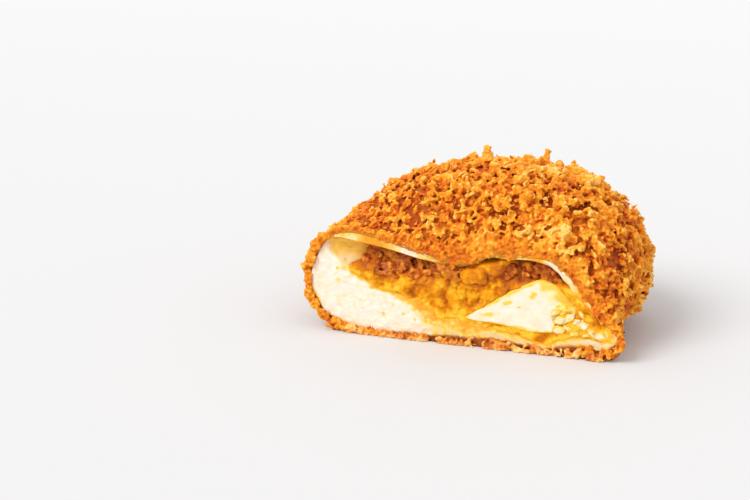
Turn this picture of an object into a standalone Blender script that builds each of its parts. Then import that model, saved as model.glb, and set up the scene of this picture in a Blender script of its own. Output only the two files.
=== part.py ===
"""Half of a deep-fried curry bread, cut across, lying on its flat base with the cut face to -Y.

The wall of dough is a loft from the outline of the cut to the full round of the bun and on to its tip.
A second loft of the same kind hollows it, a third one fills the hollow with curry, and the pieces of
meat and vegetable that show at the cut sit in pockets of the curry. Fried crumbs are fused to the crust.
Metres, +Z up, origin at the middle of the base.
"""

import math

import bmesh
import bpy
import numpy as np
from mathutils import Matrix, Vector, noise

MM = 0.001
FIT_GAP = 0.35 * MM  # clearance between pieces that touch in the real food
SLIVER = 0.03 * MM  # edges shorter than this are collapsed after a Boolean
SLIVER_PASSES = 12

# The bun, in millimetres from the core line, which runs along Y at the height of the widest part.
CUT_Y = -30.25  # plane of the cut
CORE_Z = 14.0  # height of the core line above the table
FULL_DEPTH = 22.0  # from the cut back to the fullest section
SETTLE = 0.8  # how much the base is flattened by the weight

LOAF = {
    "length": 59.0,
    "straight": 0.0,  # depth behind the cut before the outline begins to swell
    "left": 42.5,
    "right": 42.5,
    "top": 29.4,
    "bottom": 14.8,
    "power_left": 1.75,
    "power_right": 2.15,
    "power_bottom": 3.0,
    # outline of the cut: the crown was pressed down by the knife and dips in the middle
    "cut": [
        (42.5, 5.6), (40.0, 9.3), (36.0, 12.8), (31.0, 18.5), (27.0, 22.5), (22.0, 25.2),
        (11.0, 24.6), (1.0, 22.0), (-8.0, 22.4), (-18.0, 25.0), (-31.0, 27.4), (-38.5, 25.0),
        (-42.6, 19.5), (-43.5, 13.0), (-41.0, 6.0), (-34.0, 1.6), (-25.0, 0.3), (0.0, 0.2),
        (30.0, 0.3), (39.5, 1.6),
    ],
}
HOLLOW = {
    "length": 50.0,
    "straight": 1.8,
    "left": 34.0,
    "right": 37.5,
    "top": 25.6,
    "bottom": 9.0,
    "power_left": 1.9,
    "power_right": 2.2,
    "power_bottom": 2.6,
    # thick dough on the left, a thin skin above and below
    "cut": [
        (38.8, 5.8), (35.2, 10.6), (30.2, 16.4), (26.2, 20.9), (21.5, 23.3), (11.0, 22.7),
        (1.0, 20.0), (-8.0, 20.4), (-18.0, 22.9), (-29.0, 25.2), (-34.2, 24.0), (-33.6, 20.0),
        (-30.0, 15.2), (-22.3, 12.0), (-11.0, 8.8), (0.0, 5.8), (13.0, 3.9), (28.0, 3.4),
        (37.0, 3.8),
    ],
}
# The filling follows the hollow, a little lower under the skin on the left, where a dark gap shows.
CURRY_GAP = 0.6  # between the filling and the dough
CURRY_SHORTER = 1.2  # than the hollow, at its far end
CURRY_NARROWER = 0.985  # times the width and height of the hollow, before the gap
CURRY_DROP = 1.9  # added to the gap at the upper left of the cut
CURRY_DROP_DEPTH = 12.0
CURRY_RECESS = 1.5  # how far the filling stays behind the cut
CURRY_LUMP = 4.4  # size of the lumps in it
CURRY_RELIEF = 1.4

# The pieces in the curry, as (x, z) in the plane of the cut, in millimetres.
CHICKEN_FACE = [
    (1.0, 6.3), (10.6, 13.4), (19.8, 18.4), (26.0, 16.0), (29.6, 12.2), (24.8, 9.6),
    (24.4, 5.3), (12.5, 5.3),
]
CHICKEN_DEPTH = 15.0
CHICKEN_TAPER = 0.72  # size of its inner end against its cut face
POTATO = {"middle": (3.7, 4.7, 17.2), "radii": (5.4, 4.2, 3.2), "tilt": -8.0}
ONION_STRIPS = [  # half length and half width, tilt in degrees
    {"middle": (-24.6, 19.4), "half": (3.2, 1.7), "tilt": 80.0},
    {"middle": (-19.0, 19.3), "half": (3.2, 1.6), "tilt": 35.0},
    {"middle": (-12.0, 17.5), "half": (4.0, 1.6), "tilt": -58.0},
    {"middle": (11.2, 18.3), "half": (2.7, 1.1), "tilt": 84.0},
]
STRIP_THICKNESS = 1.6

# Crags in the crust, and fried crumbs on it, largest first.
CRAG_SIZE = 6.0
CRAG_RELIEF = 1.1
CRUMB_SEED = 41
CRUMB_COUNT = 186
CRUMB_LARGEST = 8.0
CRUMB_SMALLEST = 3.8
CRUMB_FLATNESS = 0.52
CRUMB_SINK = 0.22  # share of its size that a crumb is sunk in the crust
CRUMB_TRIES = 24  # places compared for each crumb, so that they spread evenly

COLOURS = {
    "crust": (0.62, 0.26, 0.05),
    "curry": (0.60, 0.24, 0.03),
    "chicken": (0.90, 0.82, 0.66),
    "potato": (0.70, 0.38, 0.09),
    "onion": (0.45, 0.17, 0.05),
}


def smooth_loop(points, steps=10):
    """A closed Catmull-Rom curve through the points."""
    p = np.array(points, float)
    t = np.linspace(0, 1, steps, endpoint=False)[:, None]
    before, after, later = np.roll(p, 1, 0), np.roll(p, -1, 0), np.roll(p, -2, 0)
    spans = [
        0.5 * (2 * b + (c - a) * t + (2 * a - 5 * b + 4 * c - d) * t**2
               + (3 * b - a - 3 * c + d) * t**3)
        for a, b, c, d in zip(before, p, after, later)
    ]
    return np.concatenate(spans)


def cut_radius(form, angle):
    """Distance from the core line to the outline of the cut, for each angle in the XZ plane."""
    loop = smooth_loop(form["cut"]) - (0, CORE_Z)
    return np.interp(
        angle, np.arctan2(loop[:, 1], loop[:, 0]), np.hypot(*loop.T), period=2 * math.pi
    )


def body_radius(form, angle, shrink_side, shrink_bottom):
    """The same for the full section, a superellipse with a width, height and power of its own each way."""
    c, s = np.cos(angle), np.sin(angle)
    side = np.where(c > 0, form["right"], form["left"]) * shrink_side
    up = np.where(s > 0, form["top"] * shrink_side, form["bottom"] * shrink_bottom)
    power_up = np.where(c > 0, form["power_right"], form["power_left"])
    power = np.where(s > 0, power_up, form["power_bottom"])
    return (np.abs(c / side) ** power + np.abs(s / up) ** power) ** (-1 / power)


def form_points(form, angle, along, back=0.0):
    """Points of a form: angle is round the core line, and along runs from 0 at the cut to 1 at the tip.
    back is how far behind the cut it is to begin."""
    front = along < 0.5
    depth = np.where(
        front,
        FULL_DEPTH * (1 - np.cos(math.pi * along)),
        FULL_DEPTH + (form["length"] - FULL_DEPTH) * np.sin(math.pi * (along - 0.5)),
    )
    depth += back * np.clip(1 - depth / FULL_DEPTH, 0, 1)
    # between the cut and the full section the outline swells quickly at first
    to_full = np.clip((FULL_DEPTH - depth) / (FULL_DEPTH - form["straight"]), 0, 1)
    swell = (1 - to_full**2.2) ** (1 / 1.6)
    # past the full section it closes like an ellipsoid, with the base staying flat for longer
    to_tip = np.clip((depth - FULL_DEPTH) / (form["length"] - FULL_DEPTH), 0, 0.9999)
    side = (1 - to_tip**2.3) ** (1 / 2.3)
    under = (1 - to_tip**3.2) ** (1 / 3.2)
    full = body_radius(form, angle, side, under)
    radius = np.where(front, cut_radius(form, angle) * (1 - swell) + full * swell, full)
    return np.stack([radius * np.cos(angle), CUT_Y + depth, CORE_Z + radius * np.sin(angle)], -1)


def form_normals(form, angle, along, back=0.0):
    """Points of a form, its outward normals, and the area each point stands for."""
    step = 1e-3
    here = form_points(form, angle, along, back)
    round_it = form_points(form, angle + step, along, back) - here
    along_it = form_points(form, angle, along + step, back) - here
    normal = np.cross(along_it, round_it)
    area = np.linalg.norm(normal, axis=1)
    return here, normal / np.maximum(area, 1e-12)[:, None], area


def settled(points):
    """Presses the base of the bun flat on the table."""
    points[:, 2] = np.maximum(points[:, 2] - SETTLE, 0)
    return points


def sphere_grid(name, segments, rings_behind, rings_face):
    """A UV sphere to be reshaped, and where each vertex is to go: its angle round the core line, how far
    along the body it lies, and how far in from the rim of the cut face, each from 0 to 1."""
    rings = rings_behind + rings_face
    bpy.ops.mesh.primitive_uv_sphere_add(segments=segments, ring_count=rings, radius=1.0)
    obj = bpy.context.object
    obj.name = name
    co = np.array([v.co for v in obj.data.vertices])
    angle = -np.arctan2(co[:, 1], co[:, 0])
    ring = np.round(np.arccos(np.clip(co[:, 2], -1, 1)) / math.pi * rings)
    along = np.clip(1 - ring / rings_behind, 0, 1)
    inward = np.clip((ring - rings_behind) / rings_face, 0, 1)
    return obj, angle, along, inward


def place(obj, points_mm):
    """Moves the vertices to these points, given in millimetres."""
    obj.data.vertices.foreach_set("co", (np.array(points_mm) * MM).ravel())
    obj.data.update()


def to_middle(points, inward, middle):
    """Draws the points of the cut face in towards its middle, evenly from the rim."""
    return middle + (points - middle) * (1 - inward)[:, None]


def bun():
    """The whole bun behind the cut, without its crumbs."""
    obj, angle, along, inward = sphere_grid("bread", 52, 13, 2)
    points, normals, _ = form_normals(LOAF, angle, along)
    crags = CRAG_RELIEF * noise_at(points, CRAG_SIZE)
    crags *= smooth_step(along * 8) * smooth_step(points[:, 2] / 8)
    points = settled(points + normals * crags[:, None])
    place(obj, to_middle(points, inward, np.array([0, CUT_Y, CORE_Z])))
    return obj


def hollow_cutter():
    """The hollow for the filling, carried straight out past the cut."""
    obj, angle, along, inward = sphere_grid("hollow", 36, 11, 3)
    points = form_points(HOLLOW, angle, along)
    core = np.array([4.0, CUT_Y, CORE_Z - 2])
    points = to_middle(points, np.maximum(inward * 1.5 - 0.5, 0), core)
    points[inward > 0, 1] -= 5
    place(obj, points)
    return obj


def noise_at(points, size):
    """Smooth noise at the points, of about this size in millimetres."""
    return np.array([noise.noise(Vector(p) / size) for p in points])


def smooth_step(value):
    t = np.clip(value, 0, 1)
    return t * t * (3 - 2 * t)


def curry_front(x, z):
    """How far behind the cut the face of the filling lies: deepest in the hollow at the upper left."""
    hollow = 3.4 * smooth_step((z - 13.5) / 6) * smooth_step((-4 - x) / 9)
    corner = 1.8 * smooth_step((z - 17.5) / 4) * smooth_step((x - 10) / 5)
    return CURRY_RECESS + hollow + corner


def curry_solid():
    obj, angle, along, inward = sphere_grid("curry", 36, 11, 8)
    form = {**HOLLOW, "length": HOLLOW["length"] - CURRY_SHORTER}
    x, _, z = form_points(form, angle, along * 0).T
    points, normals, _ = form_normals(form, angle, along, curry_front(x, z))
    depth = points[:, 1] - CUT_Y
    drop = smooth_step((z - 16) / 6) * smooth_step((-4 - x) / 10)
    drop *= CURRY_DROP * smooth_step(1 - depth / CURRY_DROP_DEPTH)
    core = np.array([0, 0, CORE_Z])
    points = core + (points - core) * (CURRY_NARROWER, 1, CURRY_NARROWER)
    points -= normals * (CURRY_GAP + drop)[:, None]
    # the cut face goes in from that rim, with lumps in it
    points = to_middle(points, inward, np.array([4.0, CUT_Y, CORE_Z - 2]))
    face = inward > 0
    lumps = CURRY_RELIEF * noise_at(points[face], CURRY_LUMP)
    front = curry_front(points[face, 0], points[face, 2]) + lumps
    points[face, 1] = CUT_Y + np.maximum(front, 0.2)
    place(obj, points)
    return obj


def applied(obj):
    """Applies the object's modifiers, in place."""
    graph = bpy.context.evaluated_depsgraph_get()
    mesh = bpy.data.meshes.new_from_object(obj.evaluated_get(graph))
    obj.modifiers.clear()
    obj.data = mesh
    return obj


def boolean(obj, operation, other):
    """Joins obj with, or cuts it by, another object or every object of a collection."""
    modifier = obj.modifiers.new(operation.title(), "BOOLEAN")
    modifier.operation = operation
    modifier.solver = "MANIFOLD"
    if isinstance(other, bpy.types.Collection):
        modifier.operand_type = "COLLECTION"
        modifier.collection = other
    else:
        modifier.object = other
    return applied(obj)


def drop_scraps(obj):
    """Keeps the largest shell of a mesh: loose scraps go, and sealed hollows are filled."""
    bm = bmesh.new()
    bm.from_mesh(obj.data)
    unseen, shells = set(bm.faces), []
    while unseen:
        shell, waiting = set(), [next(iter(unseen))]
        while waiting:
            face = waiting.pop()
            if face not in shell:
                shell.add(face)
                waiting.extend(other for e in face.edges for other in e.link_faces)
        unseen -= shell
        shells.append(shell)
    shells.sort(key=len)
    for shell in shells[:-1]:
        bmesh.ops.delete(bm, geom=list(shell), context="FACES")
    bm.to_mesh(obj.data)
    bm.free()


def clean(obj):
    """Collapses the slivers that a Boolean leaves."""
    bm = bmesh.new()
    bm.from_mesh(obj.data)
    bmesh.ops.triangulate(bm, faces=bm.faces)
    drop_doubled(bm)
    for _ in range(SLIVER_PASSES):
        short = safe_to_collapse(bm)
        if not short:
            break
        bmesh.ops.collapse(bm, edges=short)
    bm.to_mesh(obj.data)
    bm.free()


def drop_doubled(bm):
    """Removes pairs of faces that lie back to back on the same corners."""
    by_corners = {}
    for face in bm.faces:
        by_corners.setdefault(frozenset(face.verts), []).append(face)
    doubled = [f for faces in by_corners.values() if len(faces) > 1 for f in faces]
    bmesh.ops.delete(bm, geom=doubled, context="FACES")


def safe_to_collapse(bm):
    """Short edges, none near another, whose collapse keeps the surface closed."""
    chosen, touched = [], set()
    for edge in sorted(bm.edges, key=lambda e: e.calc_length()):
        if edge.calc_length() > SLIVER:
            break
        near = [{e.other_vert(v) for e in v.link_edges} for v in edge.verts]
        if len(near[0] & near[1]) == 2 and not touched & (near[0] | near[1]):
            chosen.append(edge)
            touched |= near[0] | near[1]
    return chosen


def box(name, low, high):
    bpy.ops.mesh.primitive_cube_add(size=1.0)
    obj = bpy.context.object
    obj.name = name
    low, high = Vector(low) * MM, Vector(high) * MM
    size = Matrix.Diagonal((*(high - low), 1.0))
    obj.data.transform(Matrix.Translation((low + high) / 2) @ size)
    return obj


def crumb(rng, size):
    """One jagged crumb at the origin, flattest along Z."""
    bpy.ops.mesh.primitive_ico_sphere_add(subdivisions=1, radius=1.0)
    obj = bpy.context.object
    stretch = np.array([rng.uniform(0.8, 1.15), rng.uniform(0.55, 0.9), CRUMB_FLATNESS])
    for vertex in obj.data.vertices:
        point = np.array(vertex.co) * stretch * rng.uniform(0.62, 1.18)
        vertex.co = Vector(point * size / 2 * MM)
    return obj


def crust_places(rng, count):
    """Spots on the crust, each with its normal, spread evenly over its area."""
    spots = rng.uniform((0, 0.02), (2 * math.pi, 0.98), (count * CRUMB_TRIES * 4, 2))
    here, normal, area = form_normals(LOAF, *spots.T)
    here = settled(here)
    # keeping each spot by the area it stands for makes them even, and few go under the base
    kept = rng.uniform(0, np.percentile(area, 90), len(area)) < area
    kept &= (here[:, 2] > 0.7) | (rng.uniform(0, 1, len(area)) < 0.1)
    here, normal = here[kept], normal[kept]
    chosen = [0]
    nearest = np.linalg.norm(here - here[0], axis=1)
    while len(chosen) < count:
        tried = rng.integers(0, len(here), CRUMB_TRIES)
        best = tried[np.argmax(nearest[tried])]
        chosen.append(best)
        nearest = np.minimum(nearest, np.linalg.norm(here - here[best], axis=1))
    return here[chosen], normal[chosen]


def crumbs_in(collection):
    """Places the crumbs in the collection, ready to be fused to the crust."""
    rng = np.random.default_rng(CRUMB_SEED)
    places, normals = crust_places(rng, CRUMB_COUNT)
    for i, (spot, normal) in enumerate(zip(places, normals)):
        share = i / (CRUMB_COUNT - 1)
        size = CRUMB_SMALLEST + (CRUMB_LARGEST - CRUMB_SMALLEST) * (1 - share) ** 2
        obj = crumb(rng, size)
        turn = Vector(normal).to_track_quat("Z", "Y").to_matrix().to_4x4()
        lean = Matrix.Rotation(rng.uniform(-0.5, 0.5), 4, "X")
        spin = Matrix.Rotation(rng.uniform(0, 2 * math.pi), 4, "Z")
        lift = size * (CRUMB_FLATNESS / 2 - CRUMB_SINK)
        middle = (Vector(spot) + Vector(normal) * lift) * MM
        obj.data.transform(Matrix.Translation(middle) @ turn @ lean @ spin)
        move_to(obj, collection)


def move_to(obj, collection):
    for old in list(obj.users_collection):
        old.objects.unlink(obj)
    collection.objects.link(obj)


def empty(collection):
    """Removes a helper collection and its objects once they have been used."""
    for obj in list(collection.objects):
        bpy.data.objects.remove(obj, do_unlink=True)
    bpy.data.collections.remove(collection)


def new_collection(name):
    collection = bpy.data.collections.new(name)
    bpy.context.scene.collection.children.link(collection)
    return collection


def bread_solid():
    """The wall of dough with its crust and crumbs."""
    bread = bun()
    crumbs = new_collection("crumbs")
    crumbs_in(crumbs)
    boolean(bread, "UNION", crumbs)
    empty(crumbs)
    # crumbs are trimmed level with the base and with the cut
    room = box("room", (-80, CUT_Y, 0), (80, 80, 80))
    boolean(bread, "INTERSECT", room)
    hollow = hollow_cutter()
    boolean(bread, "DIFFERENCE", hollow)
    for helper in (room, hollow):
        bpy.data.objects.remove(helper)
    drop_scraps(bread)
    clean(bread)
    return bread


def chicken_solid(name="chicken", grow=0.0):
    """A wedge of chicken breast, cut clean by the knife, narrower at its inner end."""
    curve = bpy.data.curves.new(name, "CURVE")
    curve.dimensions = "2D"
    curve.fill_mode = "BOTH"
    depth = CHICKEN_DEPTH + 2 * grow
    curve.extrude = depth / 2 * MM
    curve.offset = grow * MM
    spline = curve.splines.new("POLY")
    spline.points.add(len(CHICKEN_FACE) - 1)
    spline.use_cyclic_u = True
    for point, (x, z) in zip(spline.points, CHICKEN_FACE):
        point.co = (x * MM, z * MM, 0, 1)
    flat = bpy.data.objects.new(name + "_outline", curve)
    bpy.context.scene.collection.objects.link(flat)
    obj = as_mesh(flat, name)
    # stand it up, cut face to -Y just behind the plane of the cut
    middle_y = CUT_Y + FIT_GAP / MM + CHICKEN_DEPTH / 2
    obj.data.transform(Matrix.Translation((0, middle_y * MM, 0)) @ Matrix.Rotation(math.pi / 2, 4, "X"))
    centre = Vector((15 * MM, 0, 9 * MM))
    for vertex in obj.data.vertices:
        if vertex.co.y > middle_y * MM:
            vertex.co.x = centre.x + (vertex.co.x - centre.x) * CHICKEN_TAPER
            vertex.co.z = centre.z + (vertex.co.z - centre.z) * CHICKEN_TAPER
    bevel = obj.modifiers.new("Soft edges", "BEVEL")
    bevel.width = 0.6 * MM
    bevel.segments = 2
    bevel.limit_method = "ANGLE"
    return applied(obj)


def as_mesh(curve_object, name):
    """A curve object as a closed mesh object, with its caps welded."""
    bpy.context.view_layer.update()
    graph = bpy.context.evaluated_depsgraph_get()
    mesh = bpy.data.meshes.new_from_object(curve_object.evaluated_get(graph))
    obj = bpy.data.objects.new(name, mesh)
    obj.matrix_world = curve_object.matrix_world
    bpy.context.scene.collection.objects.link(obj)
    bm = bmesh.new()
    bm.from_mesh(mesh)
    bmesh.ops.remove_doubles(bm, verts=bm.verts, dist=1e-6)
    bmesh.ops.recalc_face_normals(bm, faces=bm.faces)
    bm.to_mesh(mesh)
    bm.free()
    bpy.data.objects.remove(curve_object)
    return obj


def potato_solid(name="potato", grow=0.0):
    """A rounded cube of potato under a coat of curry."""
    bpy.ops.mesh.primitive_ico_sphere_add(subdivisions=3, radius=1.0)
    obj = bpy.context.object
    obj.name = name
    x, depth, z = POTATO["middle"]
    middle = Vector((x, CUT_Y + depth, z)) * MM
    size = [(r + grow) * MM for r in POTATO["radii"]]
    for vertex in obj.data.vertices:
        unit = vertex.co.normalized()
        squarer = sum(abs(c) ** 2.8 for c in unit) ** (-1 / 2.8)
        uneven = 1 + 0.10 * noise.noise(unit * 1.7)
        vertex.co = Vector(c * s * squarer * uneven for c, s in zip(unit, size))
    turn = Matrix.Rotation(math.radians(POTATO["tilt"]), 4, "Y")
    obj.data.transform(Matrix.Translation(middle) @ turn)
    return obj


def onion_strip(name, strip, grow=0.0):
    """A soft curved strip of fried onion, lying across the face of the filling."""
    bpy.ops.mesh.primitive_uv_sphere_add(segments=12, ring_count=8, radius=1.0)
    obj = bpy.context.object
    obj.name = name
    half_length, half_width = strip["half"]
    size = Vector((half_width + grow, STRIP_THICKNESS / 2 + grow, half_length + grow)) * MM
    for vertex in obj.data.vertices:
        x, y, z = vertex.co
        fuller = (1 - abs(z) ** 4) ** 0.25 / max(math.sqrt(1 - z * z), 1e-3) if abs(z) < 0.999 else 1
        bow = 0.5 * (1 - z * z)
        vertex.co = Vector((x * fuller * size.x, y * fuller * size.y - bow * size.y, z * size.z))
    x, z = strip["middle"]
    middle = Vector((x, CUT_Y + float(curry_front(x, z)), z)) * MM
    turn = Matrix.Rotation(math.radians(90 - strip["tilt"]), 4, "Y")
    obj.data.transform(Matrix.Translation(middle) @ turn)
    return obj


def finish(obj, colour, collection, roughness):
    """Smooth shading, a plain material, and its place in the part's own collection."""
    material = bpy.data.materials.new(obj.name)
    material.use_nodes = True
    surface = material.node_tree.nodes["Principled BSDF"]
    surface.inputs["Base Color"].default_value = (*COLOURS[colour], 1.0)
    surface.inputs["Roughness"].default_value = roughness
    surface.inputs["Metallic"].default_value = 0.0
    obj.data.materials.clear()
    obj.data.materials.append(material)
    obj.data.shade_smooth()
    obj.data.set_sharp_from_angle(angle=math.radians(35))
    move_to(obj, collection)


def main():
    for obj in list(bpy.data.objects):
        bpy.data.objects.remove(obj, do_unlink=True)
    part = new_collection("curry_bread")

    bread = bread_solid()
    chicken = chicken_solid()
    potato = potato_solid()
    strips = [onion_strip(f"onion_{i + 1}", s) for i, s in enumerate(ONION_STRIPS)]

    pockets = new_collection("pockets")
    room = FIT_GAP / MM
    move_to(chicken_solid("chicken_pocket", room), pockets)
    move_to(potato_solid("potato_pocket", room), pockets)
    for i, strip in enumerate(ONION_STRIPS):
        move_to(onion_strip(f"onion_pocket_{i}", strip, room), pockets)
    curry = curry_solid()
    boolean(curry, "DIFFERENCE", pockets)
    drop_scraps(curry)
    clean(curry)
    empty(pockets)

    finish(bread, "crust", part, 0.75)
    finish(curry, "curry", part, 0.35)
    finish(chicken, "chicken", part, 0.5)
    finish(potato, "potato", part, 0.4)
    for strip in strips:
        finish(strip, "onion", part, 0.3)


main()
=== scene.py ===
import math

import bmesh
import bpy
import numpy as np
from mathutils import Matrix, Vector, noise
from mathutils.bvhtree import BVHTree


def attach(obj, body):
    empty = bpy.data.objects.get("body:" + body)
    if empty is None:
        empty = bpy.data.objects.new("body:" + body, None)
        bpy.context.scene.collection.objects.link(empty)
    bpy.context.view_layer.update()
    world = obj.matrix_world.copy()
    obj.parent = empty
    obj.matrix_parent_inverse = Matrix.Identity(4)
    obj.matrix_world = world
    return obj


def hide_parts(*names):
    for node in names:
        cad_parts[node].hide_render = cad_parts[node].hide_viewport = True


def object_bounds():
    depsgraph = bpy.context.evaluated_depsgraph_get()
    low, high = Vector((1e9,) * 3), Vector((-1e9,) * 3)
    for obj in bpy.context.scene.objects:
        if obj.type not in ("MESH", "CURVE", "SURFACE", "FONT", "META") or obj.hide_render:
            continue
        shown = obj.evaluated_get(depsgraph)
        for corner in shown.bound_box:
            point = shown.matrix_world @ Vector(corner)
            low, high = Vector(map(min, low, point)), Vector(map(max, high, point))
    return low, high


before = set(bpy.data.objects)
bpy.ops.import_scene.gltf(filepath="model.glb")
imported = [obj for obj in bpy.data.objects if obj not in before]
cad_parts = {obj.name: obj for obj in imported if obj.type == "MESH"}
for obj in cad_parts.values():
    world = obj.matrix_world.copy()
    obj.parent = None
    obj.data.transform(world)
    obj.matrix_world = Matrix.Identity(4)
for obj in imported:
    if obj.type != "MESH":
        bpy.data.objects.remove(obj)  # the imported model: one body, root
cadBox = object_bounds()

mm = 0.001


# shapes that the pieces share, in millimetres

bun = {
    "cutY": -30.25,  # plane of the cut
    "coreZ": 14.0,  # the core line runs along Y at this height
    "fullDepth": 22.0,  # from the cut back to the fullest section
    "length": 59.0,
    "side": 42.5,
    "right": 41.7,
    "top": 28.3,
    "bottom": 14.8,
    "settle": 0.8,  # flattened by its weight
    "crustLift": 0.8,  # all but the sole stands this much higher, on a thicker crust
    "powerLeft": 1.88,
    "powerRight": 2.5,
    "powerBottom": 3.0,
    "powerUnderRight": 2.0,
    "cut": [  # outline of the cut, pressed down by the knife in the middle
        (42.3, 5.6), (40, 9.3), (36, 12.6), (31, 18.5), (27, 22.5), (22.5, 25.2),
        (17, 25.5), (10, 24.9), (6, 24.1), (3, 22.8), (-1, 21.9), (-5, 22), (-15, 24.5), (-25, 27),
        (-32, 27.6), (-36.5, 26.3), (-40.5, 23), (-43, 18), (-43.4, 13), (-42.3, 8.5),
        (-39, 4), (-33, 1.2), (-25, 0.4), (-15, 0.3), (0, 0.3), (20, 0.3),
        (35, 0.4), (41, 2),
    ],
}
doughEdge = [  # where the crust ends and the dough begins, on the cut
    (41.4, 5.6), (39.1, 8.9), (35.2, 12.2), (30.4, 18.1), (26.7, 22), (22.4, 24.8),
    (17, 25.2), (10.2, 24.6), (6, 23.8), (3, 22.2), (-1, 21.6), (-5, 21.7), (-15, 24.25),
    (-25, 26.75), (-31.8, 27.35), (-36, 25.9), (-39.2, 22.3), (-41.5, 17.6), (-42.5, 13), (-41.4, 8.8),
    (-38.4, 4.6), (-33, 2.1), (-28, 1.2), (-22, 0.9), (-14, 1.1), (-7, 1.8),
    (-1, 2.1), (5, 2.4), (10, 2.4), (15.5, 2), (19.5, 1.5), (22, 1.4), (24, 2.1),
    (26.5, 2.75), (30, 3), (32.8, 3.2), (34.5, 2.75), (36.4, 2.4), (38.6, 3), (40.4, 4.3),
]
hollow = {
    "length": 50.0,
    "left": 34.0,
    "right": 37.5,
    "top": 26.6,
    "bottom": 9.6,
    "powerLeft": 1.9,
    "powerRight": 2.2,
    "powerBottom": 2.6,
    "straight": 1.2,
    "cut": [  # thick dough on the left, thin skin above, thin bottom on the right
        (39.4, 6.4), (37.4, 9.1), (34, 11.5), (29.5, 16.1), (26.1, 20.1), (22.8, 22.8),
        (17.6, 23.8), (10.4, 23.6), (7.4, 23.6), (5, 22.7), (1.5, 21), (-1.9, 20.4), (-8.2, 20.8),
        (-12.4, 21.5), (-17.3, 22.5), (-22.3, 23.5), (-27, 24.1), (-31.3, 24.8), (-34.6, 25),
        (-36.5, 23.8), (-35.7, 20.8), (-33.2, 18.5), (-30.3, 16.2), (-26, 13.4), (-22.3, 12.3), (-16.6, 10.8),
        (-10.9, 8.7), (-5.2, 6.5), (0.4, 5.6), (5.9, 4.8), (10.3, 4.3), (15.5, 3.6), (19.7, 2.75),
        (22.3, 2.35), (24.9, 3.3), (27.6, 4.1), (31.5, 4.8), (34.1, 4.7), (36, 4.3), (38.2, 4.8),
    ],
}
pocket = {"from": 159.8, "full": 164.0, "fullTo": 169.0, "to": 176.0, "pull": 0.25, "depth": 5.5}


def smoothLoop(points, steps=12):  # closed Catmull-Rom curve
    p = np.array(points, float)
    t = np.linspace(0, 1, steps, endpoint=False)[:, None]
    before, after, next2 = np.roll(p, 1, 0), np.roll(p, -1, 0), np.roll(p, -2, 0)
    spans = [
        0.5 * (2 * q + (r - o) * t + (2 * o - 5 * q + 4 * r - s) * t**2 + (3 * q - o - 3 * r + s) * t**3)
        for o, q, r, s in zip(before, p, after, next2)
    ]
    return np.concatenate(spans)


def cutRadius(points, angle):  # distance from the core line to an outline of the cut
    loop = smoothLoop(points) - (0, bun["coreZ"])
    return np.interp(angle, np.arctan2(loop[:, 1], loop[:, 0]), np.hypot(*loop.T), period=2 * math.pi)


def fullRadius(angle, left, right, up, down, powers):  # superellipse, different each way
    c, s = np.cos(angle), np.sin(angle)
    power = np.where(s > 0, np.where(c > 0, powers[1], powers[0]), np.where(c > 0, powers[3], powers[2]))
    side = np.where(c > 0, right, left)
    return (np.abs(c / side) ** power + np.abs(s / np.where(s > 0, up, down)) ** power) ** (-1 / power)


def depthAlong(along, length):  # along runs from 0 at the cut to 1 at the tip
    full = bun["fullDepth"]
    front = full * (1 - np.cos(math.pi * along))
    return np.where(along < 0.5, front, full + (length - full) * np.sin(math.pi * (along - 0.5)))


def sectionRadius(form, angle, depth):  # radius of the bun or of its hollow at any depth behind the cut
    full = bun["fullDepth"]
    toTip = np.clip((depth - full) / (form["length"] - full), 0, 0.9999)
    side = (1 - toTip**2.3) ** (1 / 2.3)
    under = (1 - toTip**3.2) ** (1 / 3.2)
    left, right = form.get("left", bun["side"]), form.get("right", bun["side"])
    bottom = form["powerBottom"]
    powers = form["powerLeft"], form["powerRight"], bottom, form.get("powerUnderRight", bottom)
    body = fullRadius(angle, left * side, right * side, form["top"] * side, form["bottom"] * under, powers)
    straight = form.get("straight", 0)
    toFull = np.clip((full - depth) / (full - straight), 0, 1)
    swell = (1 - toFull**2.2) ** (1 / 1.6)
    return np.where(depth < full, cutRadius(form["cut"], angle) * (1 - swell) + body * swell, body)


def polar(radius, angle, y):
    return np.stack([radius * np.cos(angle), y + 0 * angle, bun["coreZ"] + radius * np.sin(angle)], -1)


def loafPoints(angle, along):  # the outside of the bun
    depth = depthAlong(along, bun["length"])
    points = polar(sectionRadius(bun, angle, depth), angle, bun["cutY"] + depth)
    points[..., 2] = np.maximum(points[..., 2] - bun["settle"], 0)
    return points


def loafNormals(angle, along):
    step = 1e-3
    here = loafPoints(angle, along)
    across = np.cross(loafPoints(angle, along + step) - here, loafPoints(angle + step, along) - here)
    area = np.linalg.norm(across, axis=-1)
    return here, across / np.maximum(area, 1e-9)[..., None], area


def rises(value, low, high):  # smoothly from 0 at low to 1 at high
    t = np.clip((value - low) / (high - low), 0, 1)
    return t * t * (3 - 2 * t)


def falls(value, low, high):
    return 1 - rises(value, low, high)


def noiseAt(points, size, shift=0):
    return np.array([noise.noise(Vector(p)) for p in points / size + shift])


def pocketAmount(angle):  # where the dough slopes back at the upper left
    degrees = np.degrees(angle) % 360
    rising = rises(degrees, pocket["from"], pocket["full"])
    return rising * falls(degrees, pocket["fullTo"], pocket["to"])


def pocketPull(angle, depth):  # the share by which the hollow is narrower there
    toFull = np.clip(depth / pocket["depth"], 0, 1)
    return pocket["pull"] * pocketAmount(angle) * (1 - (1 - toFull) ** 1.5)


def hollowRadius(angle, depth):  # near the cut
    return cutRadius(hollow["cut"], angle) * (1 - pocketPull(angle, depth))


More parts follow.
